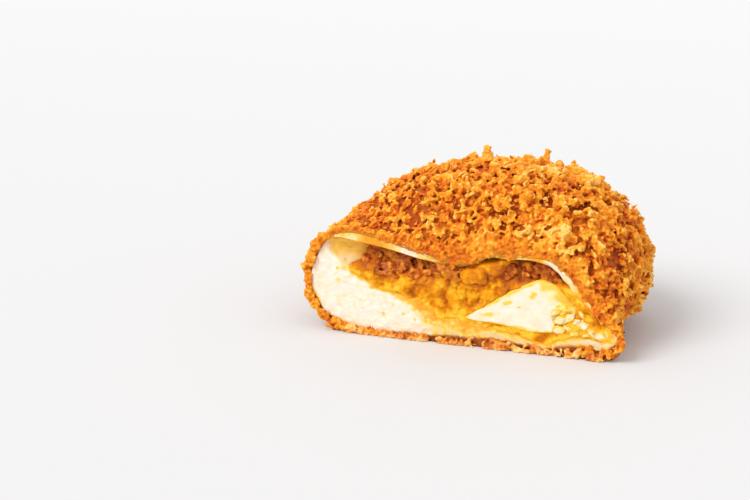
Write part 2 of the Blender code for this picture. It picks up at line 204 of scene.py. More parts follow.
def tornEdge(angle):  # how far the hollow's edge strays from its outline
    edge = polar(cutRadius(hollow["cut"], angle), angle, 0.0)
    scalloped = falls(edge[:, 2], 17, 20) * falls(edge[:, 0], 2, 8)
    return 0.35 * noiseAt(edge, 1.7, 3) + 1.7 * scalloped * noiseAt(edge, 4, 8)


def evenAngles(count):  # angles that divide both outlines of the cut into even steps
    fine = np.linspace(-math.pi, math.pi, 7201)
    steps = np.zeros(7200)
    for form in (bun, hollow):
        loop = polar(cutRadius(form["cut"], fine), fine, 0.0)
        steps += np.linalg.norm(np.diff(loop, axis=0), axis=1)
    travelled = np.concatenate([[0], np.cumsum(steps)])
    return np.interp(np.linspace(0, travelled[-1], count, endpoint=False), travelled, fine)


def clearSelection():
    for obj in bpy.context.selected_objects:
        obj.select_set(False)


def sphereGrid(name, segments, rings):
    # a UV sphere to be reshaped, with the segment and the ring of each vertex; ring 0 is the tip
    clearSelection()
    bpy.ops.mesh.primitive_uv_sphere_add(segments=segments, ring_count=rings, radius=1.0)
    obj = bpy.context.object
    obj.name = name
    obj.data.name = name
    co = np.array([v.co for v in obj.data.vertices])
    turn = (-np.arctan2(co[:, 1], co[:, 0])) / (2 * math.pi) * segments
    segment = np.round(turn).astype(int) % segments
    ring = np.round(np.arccos(np.clip(co[:, 2], -1, 1)) / math.pi * rings).astype(int)
    return obj, segment, ring


def ballShape(subdivisions):  # corners and faces of an icosphere 1 across
    clearSelection()
    bpy.ops.mesh.primitive_ico_sphere_add(subdivisions=subdivisions, radius=0.5)
    ball = bpy.context.object
    corners = np.array([v.co for v in ball.data.vertices])
    faces = np.array([p.vertices for p in ball.data.polygons])
    bpy.data.objects.remove(ball)
    return corners, faces


def lifted(points):  # the last step to every point: up onto the sole's thicker crust
    points = np.array(points, float)
    points[:, 2] += bun["crustLift"] * rises(points[:, 2], 0, 5)
    return points


def meshObject(name, points, faces):
    mesh = bpy.data.meshes.new(name)
    mesh.from_pydata((lifted(points) * mm).tolist(), [], faces.tolist())
    obj = bpy.data.objects.new(name, mesh)
    bpy.context.scene.collection.objects.link(obj)
    return obj


def fuse(obj, voxel):  # parts that touch grow into one skin
    clearSelection()
    obj.select_set(True)
    bpy.context.view_layer.objects.active = obj
    remesh = obj.modifiers.new("fuse", "REMESH")
    remesh.mode, remesh.voxel_size = "VOXEL", voxel * mm
    bpy.ops.object.modifier_apply(modifier="fuse")


def moveVertices(mesh, points):
    mesh.vertices.foreach_set("co", (points * mm).astype(np.float32).ravel())
    mesh.update()


def readVertices(mesh):  # places in millimetres, and normals
    points, normals = np.empty(len(mesh.vertices) * 3), np.empty(len(mesh.vertices) * 3)
    mesh.vertices.foreach_get("co", points)
    mesh.vertex_normals.foreach_get("vector", normals)
    return points.reshape(-1, 3) / mm, normals.reshape(-1, 3)


def setAttribute(obj, name, values):
    attribute = obj.data.attributes.new(name, "FLOAT", "POINT")
    attribute.data.foreach_set("value", np.asarray(values, np.float32))


def asPiece(obj, material, slot, *nodes, smooth=True):  # the last step of every piece
    if smooth:
        obj.data.shade_smooth()
    obj.data.materials.clear()
    obj.data.materials.append(material)
    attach(obj, "root")
    if nodes:
        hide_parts(*nodes)
    print(obj.name, len(obj.data.polygons), "faces")


def setSocket(tree, socket, value):  # a link from another node, or a fixed value
    if isinstance(value, bpy.types.NodeSocket):
        tree.links.new(value, socket)
    elif socket.type == "RGBA":
        socket.default_value = (*value, 1.0)
    else:
        socket.default_value = value


def addNode(tree, kind, **settings):
    node = tree.nodes.new(kind)
    for key, value in settings.items():
        if key in node.inputs:
            setSocket(tree, node.inputs[key], value)
        else:
            setattr(node, key, value)
    return node


def newMaterial(name, look):
    material = bpy.data.materials.new(name)
    material.use_nodes = True
    surface = material.node_tree.nodes["Principled BSDF"]
    for key, value in look.items():
        setSocket(material.node_tree, surface.inputs[key], value)
    return material, material.node_tree, surface


def attributeValue(tree, name):
    return addNode(tree, "ShaderNodeAttribute", attribute_name=name).outputs["Fac"]


def calculated(tree, operation, *parts):
    node = addNode(tree, "ShaderNodeMath", operation=operation)
    for socket, part in zip(node.inputs, parts):
        setSocket(tree, socket, part)
    return node.outputs[0]


def ramp(tree, value, stops):
    node = addNode(tree, "ShaderNodeValToRGB", Fac=value)
    elements = node.color_ramp.elements
    while len(elements) < len(stops):
        elements.new(0.5)
    for element, (position, colour) in zip(elements, stops):
        element.position = position
        element.color = (*colour, 1.0)
    return node.outputs["Color"]


def mixColour(tree, factor, first, second):
    node = addNode(tree, "ShaderNodeMix", data_type="RGBA")
    for socket, value in ((node.inputs[0], factor), (node.inputs[6], first), (node.inputs[7], second)):
        setSocket(tree, socket, value)
    return node.outputs[2]


def brokenUp(tree, given):  # a value with noise added to it; the noise's size is in millimetres
    scale = calculated(tree, "DIVIDE", 1000.0, given["Size"])
    where = addNode(tree, "ShaderNodeTexCoord").outputs["Object"]
    settings = {"Vector": where, "Scale": scale, "Detail": given["Detail"], "Roughness": given["Roughness"]}
    cloudy = addNode(tree, "ShaderNodeTexNoise", **settings).outputs["Fac"]
    spread = calculated(tree, "SUBTRACT", cloudy, 0.5)
    return calculated(tree, "MULTIPLY_ADD", spread, given["Strength"], given["Value"])


def newGroup(name, sockets, output, kind):
    # a shader group with named inputs and one output
    group = bpy.data.node_groups.new(name, "ShaderNodeTree")
    for label, socketKind in sockets.items():
        group.interface.new_socket(name=label, in_out="INPUT", socket_type=socketKind)
    group.interface.new_socket(name=output, in_out="OUTPUT", socket_type=kind)
    given = group.nodes.new("NodeGroupInput").outputs
    return group, given, group.nodes.new("NodeGroupOutput").inputs[output]


numberSocket, colourSocket = "NodeSocketFloat", "NodeSocketColor"
mottleSockets = dict.fromkeys(("Value", "Strength", "Size", "Detail", "Roughness"), numberSocket)


def mottleGroup():
    group, given, result = newGroup("mottle", mottleSockets, "Value", numberSocket)
    setSocket(group, result, brokenUp(group, given))
    return group


def sauceStainGroup():
    # sauce soaked into something pale: where the value is high it covers more, and is deeper in colour
    levels = dict.fromkeys(("Seen From", "Full From", "Pale From", "Deep From"), numberSocket)
    sockets = {**mottleSockets, **levels, **dict.fromkeys(("Base", "Pale", "Deep"), colourSocket)}
    group, given, result = newGroup("sauceStain", sockets, "Colour", colourSocket)
    soaked = brokenUp(group, given)
    shares = []
    for low, high in (("Pale From", "Deep From"), ("Seen From", "Full From")):
        limits = {"From Min": given[low], "From Max": given[high]}
        shares.append(addNode(group, "ShaderNodeMapRange", Value=soaked, **limits).outputs["Result"])
    sauce = mixColour(group, shares[0], given["Pale"], given["Deep"])
    setSocket(group, result, mixColour(group, shares[1], given["Base"], sauce))
    return group


groups = {"mottle": mottleGroup(), "sauceStain": sauceStainGroup()}  # effects that several materials share


def mottled(tree, size, detail, roughness, strength=1.0, value=0.5):
    settings = {"Value": value, "Strength": strength, "Size": size, "Detail": detail, "Roughness": roughness}
    return addNode(tree, "ShaderNodeGroup", node_tree=groups["mottle"], **settings).outputs["Value"]


def stained(tree, base, look):
    settings = {"Value": attributeValue(tree, "stain"), "Base": base, **look}
    return addNode(tree, "ShaderNodeGroup", node_tree=groups["sauceStain"], **settings).outputs["Colour"]


def addBump(tree, surface, height, distance, strength):  # distance in millimetres
    bump = addNode(tree, "ShaderNodeBump", Height=height, Strength=strength, Distance=distance * mm)
    setSocket(tree, surface.inputs["Normal"], bump.outputs["Normal"])


crustColours = [
    (0.00, (0.26, 0.026, 0.003)),  # deepest: the red-brown crust between the crumbs, with painted shade in the gaps
    (0.25, (0.55, 0.086, 0.006)),
    (0.50, (0.74, 0.225, 0.01)),
    (0.75, (0.86, 0.395, 0.03)),
    (1.00, (0.96, 0.58, 0.15)),  # palest: crumbs that browned less, and painted highlights on the crumbs' tips and edges
]
soleColours = [
    (0.00, (0.2, 0.026, 0.005)),
    (0.35, (0.5, 0.12, 0.016)),
    (0.65, (0.8, 0.3, 0.045)),
    (1.00, (1.0, 0.6, 0.2)),
]
crumbFinish = {
    "colours": crustColours,
    "mottle": (0.9, 3.0, 0.7, 0.4),  # size in millimetres, detail, roughness and strength
    "grain": (0.45, 3.0, 0.7),  # of the bump: size, detail and roughness
    "relief": (0.25, 0.6),  # depth in millimetres and strength
    "look": {
        "Roughness": 0.6, "Specular IOR Level": 0.25, "Specular Tint": (1.0, 0.75, 0.45),
        "Subsurface Weight": 0.2, "Subsurface Scale": 0.0008, "Subsurface Radius": (1.0, 0.35, 0.08),
    },
}
curryFinish = {
    "colours": [
        (0.0, (0.082, 0.008, 0.001)), (0.2, (0.24, 0.034, 0.005)), (0.4, (0.48, 0.115, 0.014)),
        (0.6, (0.69, 0.205, 0.004)), (0.8, (0.85, 0.345, 0.005)), (1.0, (0.96, 0.57, 0.04)),
    ],
    "mottle": (1.8, 5.0, 0.65, 1.0),
    "grain": (0.8, 5.0, 0.7),
    "relief": (0.45, 0.9),
    "look": {
        "Roughness": 0.26, "Specular IOR Level": 0.25, "Specular Tint": (1.0, 0.75, 0.35),
        "Subsurface Weight": 0.25, "Subsurface Scale": 0.001, "Subsurface Radius": (1.0, 0.4, 0.1),
    },
}
onionFinish = {
    "colours": [
        (0.1, (0.2, 0.026, 0.003)), (0.4, (0.43, 0.085, 0.008)),
        (0.7, (0.68, 0.22, 0.02)), (1.0, (0.88, 0.42, 0.07)),
    ],
    "mottle": (1.2, 4.0, 0.65, 0.9),
    "grain": (0.9, 3.0, 0.6),
    "relief": (0.2, 0.5),
    "look": {
        "Roughness": 0.25, "Specular IOR Level": 0.35, "Specular Tint": (1.0, 0.65, 0.35),
        "Subsurface Weight": 0.4, "Subsurface Scale": 0.0015, "Subsurface Radius": (1.0, 0.4, 0.15),
    },
}


def tonedMaterial(name, finish):
    # coloured by each place's own tone, from dark to pale
    material, tree, surface = newMaterial(name, finish["look"])
    tone = mottled(tree, *finish["mottle"], attributeValue(tree, "tone"))
    setSocket(tree, surface.inputs["Base Color"], ramp(tree, tone, finish["colours"]))
    addBump(tree, surface, mottled(tree, *finish["grain"]), *finish["relief"])
    return material


breadFinish = {
    "mottle": (1.6, 4.0, 0.7, 0.5),
    "creamMottle": (1.7, 5.0, 0.65),
    "grain": (0.9, 5.0, 0.7),
    "relief": (1.6, 0.9),
    "smoother": 0.8,  # how much less relief the dough has than the crust
    "cream": [(0.35, (0.9, 0.73, 0.5)), (0.56, (0.93, 0.8, 0.68))],
    "beige": (0.78, 0.56, 0.28),
    # tan of the pocket under the skin: soaked dough and painted shade, deepest right under the skin
    "pocketStainAndPaintedShade": (0.9, 0.41, 0.02),
    "stain": {
        "Size": 2.0, "Detail": 4.0, "Roughness": 0.6, "Strength": 0.7, "Seen From": 0.06, "Full From": 0.56,
        "Pale From": 0.4, "Deep From": 0.9, "Pale": (0.98, 0.66, 0.12), "Deep": (0.88, 0.34, 0.01),
    },
    "look": {
        "Roughness": 0.55, "Specular IOR Level": 0.3,
        "Subsurface Weight": 0.25, "Subsurface Scale": 0.001, "Subsurface Radius": (1.0, 0.6, 0.3),
    },
}


def breadMaterial():
    finish = breadFinish
    material, tree, surface = newMaterial("breadWithCrust", finish["look"])
    isDough = attributeValue(tree, "dough")
    tone = mottled(tree, *finish["mottle"], attributeValue(tree, "tone"))
    crust = ramp(tree, tone, crustColours)
    crust = mixColour(tree, attributeValue(tree, "sole"), crust, ramp(tree, tone, soleColours))
    cream = ramp(tree, mottled(tree, *finish["creamMottle"]), finish["cream"])
    cream = mixColour(tree, attributeValue(tree, "beige"), cream, finish["beige"])
    # painted shade in the pocket, mixed with the tan of soaked dough
    cream = mixColour(tree, attributeValue(tree, "shade"), cream, finish["pocketStainAndPaintedShade"])
    both = mixColour(tree, isDough, crust, stained(tree, cream, finish["stain"]))
    setSocket(tree, surface.inputs["Base Color"], both)
    rough = calculated(tree, "MULTIPLY_ADD", isDough, -finish["smoother"], 1.0)
    height = calculated(tree, "MULTIPLY", mottled(tree, *finish["grain"], value=0.0), rough)
    addBump(tree, surface, height, *finish["relief"])
    return material


chickenFinish = {
    "mottle": (3.0, 4.0, 0.6),
    "grain": (1.2, 3.0, 0.6),
    "relief": (0.2, 0.5),
    "white": [(0.3, (0.88, 0.7, 0.48)), (0.6, (0.9, 0.78, 0.64))],
    "stain": {
        "Size": 1.6, "Detail": 4.0, "Roughness": 0.6, "Strength": 0.5, "Seen From": 0.1, "Full From": 0.58,
        "Pale From": 0.35, "Deep From": 1.0, "Pale": (0.98, 0.68, 0.14), "Deep": (0.92, 0.46, 0.015),
    },
    "look": {
        "Roughness": 0.4, "Specular IOR Level": 0.4,
        "Subsurface Weight": 0.3, "Subsurface Scale": 0.002, "Subsurface Radius": (1.0, 0.6, 0.4),
    },
}


def chickenMaterial():
    finish = chickenFinish
    material, tree, surface = newMaterial("chickenBreast", finish["look"])
    white = ramp(tree, mottled(tree, *finish["mottle"]), finish["white"])
    setSocket(tree, surface.inputs["Base Color"], stained(tree, white, finish["stain"]))
    addBump(tree, surface, mottled(tree, *finish["grain"]), *finish["relief"])
    return material


materials = {
    "onion": tonedMaterial("softOnion", onionFinish),
    "crumbs": tonedMaterial("friedCrumbs", crumbFinish),
    "sole": tonedMaterial("soleCrumbs", {**crumbFinish, "colours": soleColours}),
    "bread": breadMaterial(),
    "curry": tonedMaterial("currySauce", curryFinish),
    "chicken": chickenMaterial(),
}
print("materials", len(materials))


# bread: outside, cut face and the wall of the hollow, in one closed shell
breadLook = {
    "segments": 440,
    "outerRings": 140,
    "bandRings": 5,
    "faceRings": 36,
    "hollowRings": 30,
    "crags": [(9.0, 0.45), (4.0, 0.6), (1.7, 0.45)],  # size and height of the crust's relief
    "pores": [(2.6, 0.35), (1.1, 0.22)],  # and of the crumb's, on the cut
    "hollowDepth": 34.0,
    "spots": [  # x, z and radius of flecks of sauce on the cut
        (-35.0, 16.7, 0.9), (-34.7, 13.4, 1.3), (-22.0, 5.5, 0.9), (-16.4, 5.9, 0.8), (-11.0, 10.6, 0.8),
        (-28.4, 8.6, 0.5), (-19.2, 8.3, 0.5), (-13.2, 4.6, 0.6),
    ],
}


def cragHeight(points):
    height = np.zeros(len(points))
    for i, (size, rise) in enumerate(breadLook["crags"]):
        height += rise * noiseAt(points, size, 7.3 * i)
    return height * rises(points[:, 2], 0, 4)


def makeBread():
    look = breadLook
    rings = look["outerRings"] + look["bandRings"] + look["faceRings"] + look["hollowRings"]
    obj, segment, ring = sphereGrid("breadShell", look["segments"], rings)
    angle = evenAngles(look["segments"])[segment]
    along = np.clip(1 - ring / look["outerRings"], 0, 1)
    ring = ring - look["outerRings"]
    band = np.clip(ring / look["bandRings"], 0, 1)
    across = np.clip((ring - look["bandRings"]) / look["faceRings"], 0, 1)
    inside = np.clip((ring - look["bandRings"] - look["faceRings"]) / look["hollowRings"], 0, 1)
    isOut, isHollow = band == 0, inside > 0
    isFace = ~isOut & ~isHollow
    nearRim = rises(along, 0, 0.03)

    points, normals, _ = loafNormals(angle, along)
    crags = cragHeight(points) * nearRim
    points += normals * crags[:, None]
    points[:, 2] = np.maximum(points[:, 2], 0)

    outer = cutRadius(bun["cut"], angle)
    inner = cutRadius(hollow["cut"], angle)
    torn = tornEdge(angle)
    inner += torn
    dough = cutRadius(doughEdge, angle)
    dough += 0.45 * noiseAt(polar(dough, angle, 0), 1.3) - 0.1
    dough = np.clip(dough, inner + 0.12, outer - 0.2)
    radius = outer + (dough - outer) * band + (inner - dough) * across
    face = polar(radius, angle, bun["cutY"])
    face[:, 2] = np.maximum(face[:, 2] - bun["settle"] * (1 - band), 0.0)
    pores = np.zeros(len(points))
    for i, (size, depth) in enumerate(look["pores"]):
        pores += depth * np.abs(noiseAt(face, size, 11 + 5 * i))
    degrees = np.degrees(angle) % 360
    leftFace = rises(degrees, 161.5, 165.5)  # all but the skin above the pocket
    slope = pocketAmount(angle) * leftFace
    edge = 0.45 + 1.2 * slope  # soft edges at the hollow
    lip = edge * (1 - np.clip(np.abs(radius - inner) / (0.9 + 3.5 * slope), 0, 1)) ** 2
    rough = falls(band, 0.5, 1) * (0.7 + 0.9 * noiseAt(face, 1.3, 2))
    face[:, 1] += np.where(band < 1, np.maximum(rough, 0), pores + lip)
    points = np.where(isFace[:, None], face, points)

    depth = np.where(isHollow, 0.2 + look["hollowDepth"] * inside**1.8, 0)
    wall = sectionRadius(hollow, angle, depth)
    wall *= 1 - pocketPull(angle, depth)
    wall = wall * (1 - np.clip((inside - 0.8) / 0.2, 0, 1)) + 0.01
    wall += torn * falls(depth, 0, 4)
    wallPoints = polar(wall, angle, bun["cutY"] + edge + depth)
    rippled = 0.3 * noiseAt(wallPoints, 2, 4.4) + 0.7 * slope * noiseAt(wallPoints, 1.4, 2.2)
    wallPoints += (rippled * rises(inside, 0, 0.1))[:, None]
    points = np.where(isHollow[:, None], wallPoints, points)
    moveVertices(obj.data, lifted(points))

    # sauce and browning, and how far each reaches
    x, z = points[:, 0], points[:, 2]
    low = falls(z, 9, 16)
    reach = 1.5 + 3.0 * low * rises(x, -22, -6) * falls(x, 2, 7)  # wide below the middle
    reach += 0.9 * rises(-x, 6, 12) * falls(z, 17, 19)
    reach += 3.0 * rises(x, 27, 31) * rises(z, 7, 9) + rises(x, 32, 38)
    away = (radius - inner) / reach
    patchy = noiseAt(points, 2.2, 6)
    grainy = patchy + 0.8 * noiseAt(points, 0.9, 2)
    atPocket = falls(degrees, 172.5, 176.5)
    stain = (1.0 - 0.75 * away + 0.33 * grainy) * (1 - 0.9 * leftFace * atPocket)
    toasted = (0.3 + 0.9 * grainy) * falls(dough - radius, 0, 1.3) * falls(z, 10, 18)
    stain = np.maximum(stain, toasted)
    dished = leftFace * atPocket * falls(radius - inner, 0, 3)
    stain = np.maximum(stain, dished * (0.26 + 0.3 * grainy))
    dip = rises(x, -9, -3) * falls(x, 3, 6.5) * rises(z, 16, 19)
    topSkin = rises(z, 14, 18) * (1 - dip) * (1 - leftFace)
    skinStain = 0.28 + 0.7 * noiseAt(points, 4, 6) + 0.5 * falls(x, -27, -23)
    skinStain += 0.8 * falls(radius - inner, 0.2, 1) * falls(x, -20, -14)
    skinStain += 0.4 * rises(x, -31, -27) * falls(x, -22, -18)
    skinStain += 0.6 * rises(x, 6, 9) * falls(x, 19, 23) + 0.7 * rises(x, 29, 32)
    stain = stain * (1 - topSkin) + skinStain * topSkin + 0.8 * dip
    for px, pz, size in look["spots"]:
        stain = np.maximum(stain, 0.6 * falls(np.hypot(x - px, z - pz) + 0.4 * patchy, 0.3 * size, size))
    fromEdge = np.where(isFace, radius - inner, depth)
    corner = 0.5 * slope * falls(fromEdge, 0.2, 1.1) * rises(z, 20.5, 22.5)  # yellow at the corner
    atPocket *= rises(degrees, 159.8, 161)
    inPocket = atPocket * falls(depth, 3.2, 4.8)
    inHollow = 0.85 * (1 - inPocket) + 0.5 * patchy * (1 - 0.5 * inPocket)
    # less pale stain towards the top, so the painted pocket shade shows
    inHollow += inPocket * (0.24 + 0.16 * rises(z, 17.5, 20.5)) * (1 - 0.6 * rises(z, 20.5, 23))
    # deeper stain towards the filling, and a painted shadow line right under the skin, in the deep stain
    # colour
    inHollow += inPocket * (0.5 * rises(depth, 1.6, 3.4) + 0.5 * rises(z, 23.2, 24.4))
    stain = np.where(isFace, stain, np.where(isHollow, inHollow, 0))
    stain = np.maximum(stain, corner + 0.3 * patchy * (corner > 0.1))
    beige = 0.9 * rises(x, -16, -4) * falls(z, 3, 5)
    beige = np.maximum(beige, 0.3 * topSkin * rises(x, 6, 10))
    # the pocket's painted shade, growing towards the skin above, partly the tan of soaked dough; on the face
    # it fades out near the pocket
    shade = 0.2 + 0.4 * rises(z, 17.5, 20.5) + 0.5 * rises(z, 19.5, 22.5) + 0.5 * patchy
    shade *= np.where(isFace, leftFace * atPocket * falls(radius - inner, 0, 2.4), isHollow * atPocket)
    oily = falls(along, 0.02, 0.16) * rises(z, 14, 20)
    # paler on the crust's bumps, darker in its hollows: painted shade
    tone = 0.27 + 0.16 * crags + 0.14 * noiseAt(points, 6, 1) + 0.25 * oily
    setAttribute(obj, "dough", np.where(isFace, rises(band, 0.75, 1) * (1 - 0.7 * dip), isHollow))
    setAttribute(obj, "stain", stain)
    setAttribute(obj, "beige", beige)
    setAttribute(obj, "sole", falls(z, 0.8, 2.6))
    setAttribute(obj, "shade", np.clip(shade, 0, 1) * falls(depth, 3.5, pocket["depth"]))
    gap = falls(np.abs(x - 32.3), 0.7, 1.7) * falls(z, 1.6, 2.6)
    underneath = falls(z, 2.2, 3.6)
    bandTone = 0.48 - 0.2 * underneath + 0.3 * noiseAt(points, 1.5, 3) - 0.5 * gap
    setAttribute(obj, "tone", np.where(isOut, tone, bandTone))
    asPiece(obj, materials["bread"], "bread", "bread")


makeBread()


# fried crumbs on the crust: ragged shards, grown together where they touch
crumbLook = {
    "seed": 11,
    "shapes": 60,
    "reach": (0.35, 1.0),  # of a shard's corners from its middle
    "stretch": ((1.0, 0.7, 0.3), (1.6, 1.2, 0.6)),
    "overhang": 1.5,  # how far crumbs reach ahead of the cut
    "pastBox": {"low": (1.8, 1.7, 0.0), "high": (0.8, 0.6, 0.25)},  # how far past the CAD box
    "buried": 0.35,  # what lies deeper than this in the bread is left out
    "ragged": [(1.5, 0.35), (0.7, 0.30)],  # size and height of the roughness on them
    "sections": {  # where each begins and ends along Y, and how finely its shards are fused
        "crumbsFront": (-99, -17, 0.32),
        "crumbsMiddle": (-17, 2, 0.36),
        "crumbsBack": (2, 99, 0.45),
    },
    "fine": {
        "count": 4000, "spacing": 1.1, "size": (1.0, 1.8),
        "onClumps": 4200, "sizeOnClumps": (0.8, 1.3), "atRim": 900, "onBand": 420,
    },
    "clumps": {
        "count": 1500, "spacing": 2.35, "shards": (5, 9),
        "width": 2.1, "height": 0.9, "highest": 2.4, "size": (1.5, 3.2),
    },
    "bare": [  # x, y, z and radius of patches that lost their crumbs
        (23.8, -9.1, 38.1, 4.6), (36.5, -21.4, 24.9, 3.8), (27.9, -16.2, 34.8, 3),
        (-32.1, -11, 30.1, 3.4), (42.3, -9.2, 9.9, 3.5), (28.6, 7.3, 33.2, 3.5),
        (39, 8, 22, 4),
    ],
    "randomPiles": 46,
    "pileShard": (1.6, 3.0),
    "sole": {
        "count": 430, "from": -32.0, "to": 37.5,
        "size": (1.3, 2.6),
        "voxel": 0.32,
        "inClump": 14,
        "clumps": [  # x and spread
            (-11.3, 0.6), (7.8, 0.8), (-28, 1.5), (29.5, 1), (35, 1.5), (-18, 1.6), (-1.5, 1.6),
        ],
        "gaps": [(-9.6, -6.4), (2.4, 5), (31.3, 33.3)],
    },
    "piles": [  # angle and place along the bun, length, width and height, tone
        (1.754, 0.635, 4, 4, 5.6, 0.00), (1.872, 0.615, 3.6, 3, 3.6, 0.00),
        (1.161, 0.645, 2.6, 2.6, 7, 0.02), (0.94, 0.67, 2.2, 2.2, 5.4, 0.00), (1.05, 0.66, 4, 3.4, 3.2, 0.00),
        (2.50, 0.53, 4, 3.4, 2.8, 0.00),
        (2.45, 0.07, 3.6, 3.2, 2.2, 0.02), (2.62, 0.06, 3.4, 3.2, 2.6, 0.00), (2.78, 0.05, 3.4, 3, 2.6, 0.04),
        (2.93, 0.05, 3.2, 3, 2.4, 0.00), (3.08, 0.045, 3, 3, 2.2, 0.04), (3.24, 0.04, 2.8, 2.8, 1.8, 0.02),
        (2.70, 0.12, 3.6, 3.2, 2.4, 0.02), (2.88, 0.11, 3.4, 3, 2.2, 0.00), (3.00, 0.11, 3.2, 3, 2, 0.02),
        (2.217, 0.565, 4.4, 3.4, 2.4, 0.00), (1.396, 0.62, 4, 3, 2, 0.00),
        (2.007, 0.585, 3.4, 3, 1.8, 0.00), (1.047, 0.535, 9, 3.8, 2, 0.22),
        (1.052, 0.31, 3, 7.5, 2.4, 0.08), (0.62, 0.225, 5.6, 5, 2.4, 0.26),
        (0.502, 0.307, 4.6, 7.5, 2.2, -0.12), (0.214, 0.19, 6, 4.2, 2, 0.02),
        (0.654, 0.438, 5, 4.2, 2.2, 0.05), (0.345, 0.498, 5, 4, 2, 0.00),
        (0.349, 0.623, 4, 4, 2, 0.00), (0.157, 0.503, 4.6, 4, 1.8, -0.04),
        (-0.127, 0.03, 4.6, 3.6, 1.4, 0.10), (0.013, 0.273, 4.4, 3.6, 1.8, 0.05),
        (0.358, 0.133, 4, 3.4, 1.6, 0.05), (0.017, 0.095, 4, 3.2, 1.4, 0.02),
        (2.409, 0.342, 3.6, 3, 1.8, 0.02), (2.592, 0.285, 3, 2.6, 1.6, 0.00),
        (1.972, 0.388, 4.2, 3.4, 2, 0.05), (1.854, 0.39, 4, 3.4, 2, 0.05),
        (2.422, 0.50, 3.2, 3, 1.8, 0.00), (2.753, 0.168, 2.8, 2.4, 1.3, 0.04),
        (0.89, 0.257, 5, 3.6, 2, 0.06), (1.278, 0.285, 4.4, 3.2, 1.8, 0.04),
        (0.798, 0.342, 4.6, 4, 1.8, 0.00), (1.335, 0.39, 4, 3.4, 1.8, 0.00),
        (0.249, 0.583, 4.4, 4, 1.8, 0.00), (-0.161, 0.393, 4.6, 3.4, 1.4, 0.00),
    ],
}


def shardShapes(rng, count):
    # shards of twenty faces: icosahedra with some corners pulled in, each stretched its own way
    corners, faces = ballShape(1)
    reach = rng.uniform(*crumbLook["reach"], (count, len(corners), 1))
    stretch = rng.uniform(*crumbLook["stretch"], (count, 3))[:, None]
    return corners * reach * stretch * 1.2, faces


def crumbShare(here):  # how much of the crust is covered, from place to place
    x, y, z = here.T
    share = np.where(z > 0.9, 1.0, 0.08)
    foot = falls(z, 2, 4) * falls(y - bun["cutY"], 8, 14) * rises(x, 24, 34)
    share *= 1 - 0.97 * foot
    rim = falls(y - bun["cutY"], 0.5, 3) * rises(z, 14, 20)
    share *= 1 - 0.2 * rim * rises(x, -14, -4)
    for bx, by, bz, radius in crumbLook["bare"]:
        away = np.sqrt((x - bx) ** 2 + (y - by) ** 2 + (z - bz) ** 2)
        share *= 0.15 + 0.85 * rises(away, 0.6 * radius, radius)
    return share


def crustSpots(rng, count, spacing):
    # spots spread over the crust, none nearer to another than the spacing
    tries = count * 12
    angle = rng.uniform(-math.pi, math.pi, tries)
    along = rng.uniform(0.003, 0.99, tries)
    here, normal, area = loafNormals(angle, along)
    keep = rng.uniform(0, np.percentile(area, 92), tries) < area
    keep &= rng.uniform(0, 1, tries) < crumbShare(here)
    here, normal = here[keep], normal[keep]
    taken, chosen = {}, []
    for i, cell in enumerate(map(tuple, np.floor(here / spacing).astype(int))):
        near = (
            j
            for dx in (-1, 0, 1) for dy in (-1, 0, 1) for dz in (-1, 0, 1)
            for j in taken.get((cell[0] + dx, cell[1] + dy, cell[2] + dz), ())
        )
        if all(np.sum((here[i] - here[j]) ** 2) > spacing**2 for j in near):
            taken.setdefault(cell, []).append(i)
            chosen.append(i)
            if len(chosen) == count:
                break
    here, normal = here[chosen], normal[chosen]
    return here + normal * cragHeight(here)[:, None], normal


def frameOn(normals, rng, lean):
    # rotation matrices whose Z is near each normal, spun and leant at random
    z = normals + rng.normal(0, lean, normals.shape)
    z /= np.linalg.norm(z, axis=1)[:, None]
    x = np.cross(rng.normal(size=normals.shape), z)
    x /= np.linalg.norm(x, axis=1)[:, None]
    return np.stack([x, np.cross(z, x), z], -1)


def placeShards(rng, spots, normals, offsets, sizes):
    # the corners of one shard at each offset from its spot on the crust, and the faces between them
    shapes, faces = shardShapes(rng, crumbLook["shapes"])
    turns = frameOn(normals, rng, 0.9)
    local = np.einsum("nij,nkj->nki", turns, shapes[rng.integers(0, len(shapes), len(spots))])
    verts = (spots + offsets)[:, None] + local * sizes[:, None, None]
    middle = verts.mean(1)
    onTop = rises(middle[:, 2], 11, 14) * rises(middle[:, 0], -41, -36)  # the skin stays in sight
    overhang = crumbLook["overhang"] * (1 - 0.92 * onTop) * rng.uniform(0.6, 1.0, len(verts))
    ahead = bun["cutY"] - overhang - verts[..., 1].min(1)
    verts[..., 1] += np.maximum(ahead, 0)[:, None]  # pushed back rather than left out
    low = np.array(cadBox[0]) / mm - crumbLook["pastBox"]["low"]
    high = np.array(cadBox[1]) / mm + crumbLook["pastBox"]["high"]
    verts[..., 2] -= np.maximum(verts[..., 2].max(1) - high[2], 0)[:, None]
    keep = (verts < high + 0.01).all((1, 2)) & (verts[..., :2] > low[:2]).all((1, 2))
    verts = verts[keep]
    verts[..., 2] = np.maximum(verts[..., 2], 0.01)
    return verts, faces


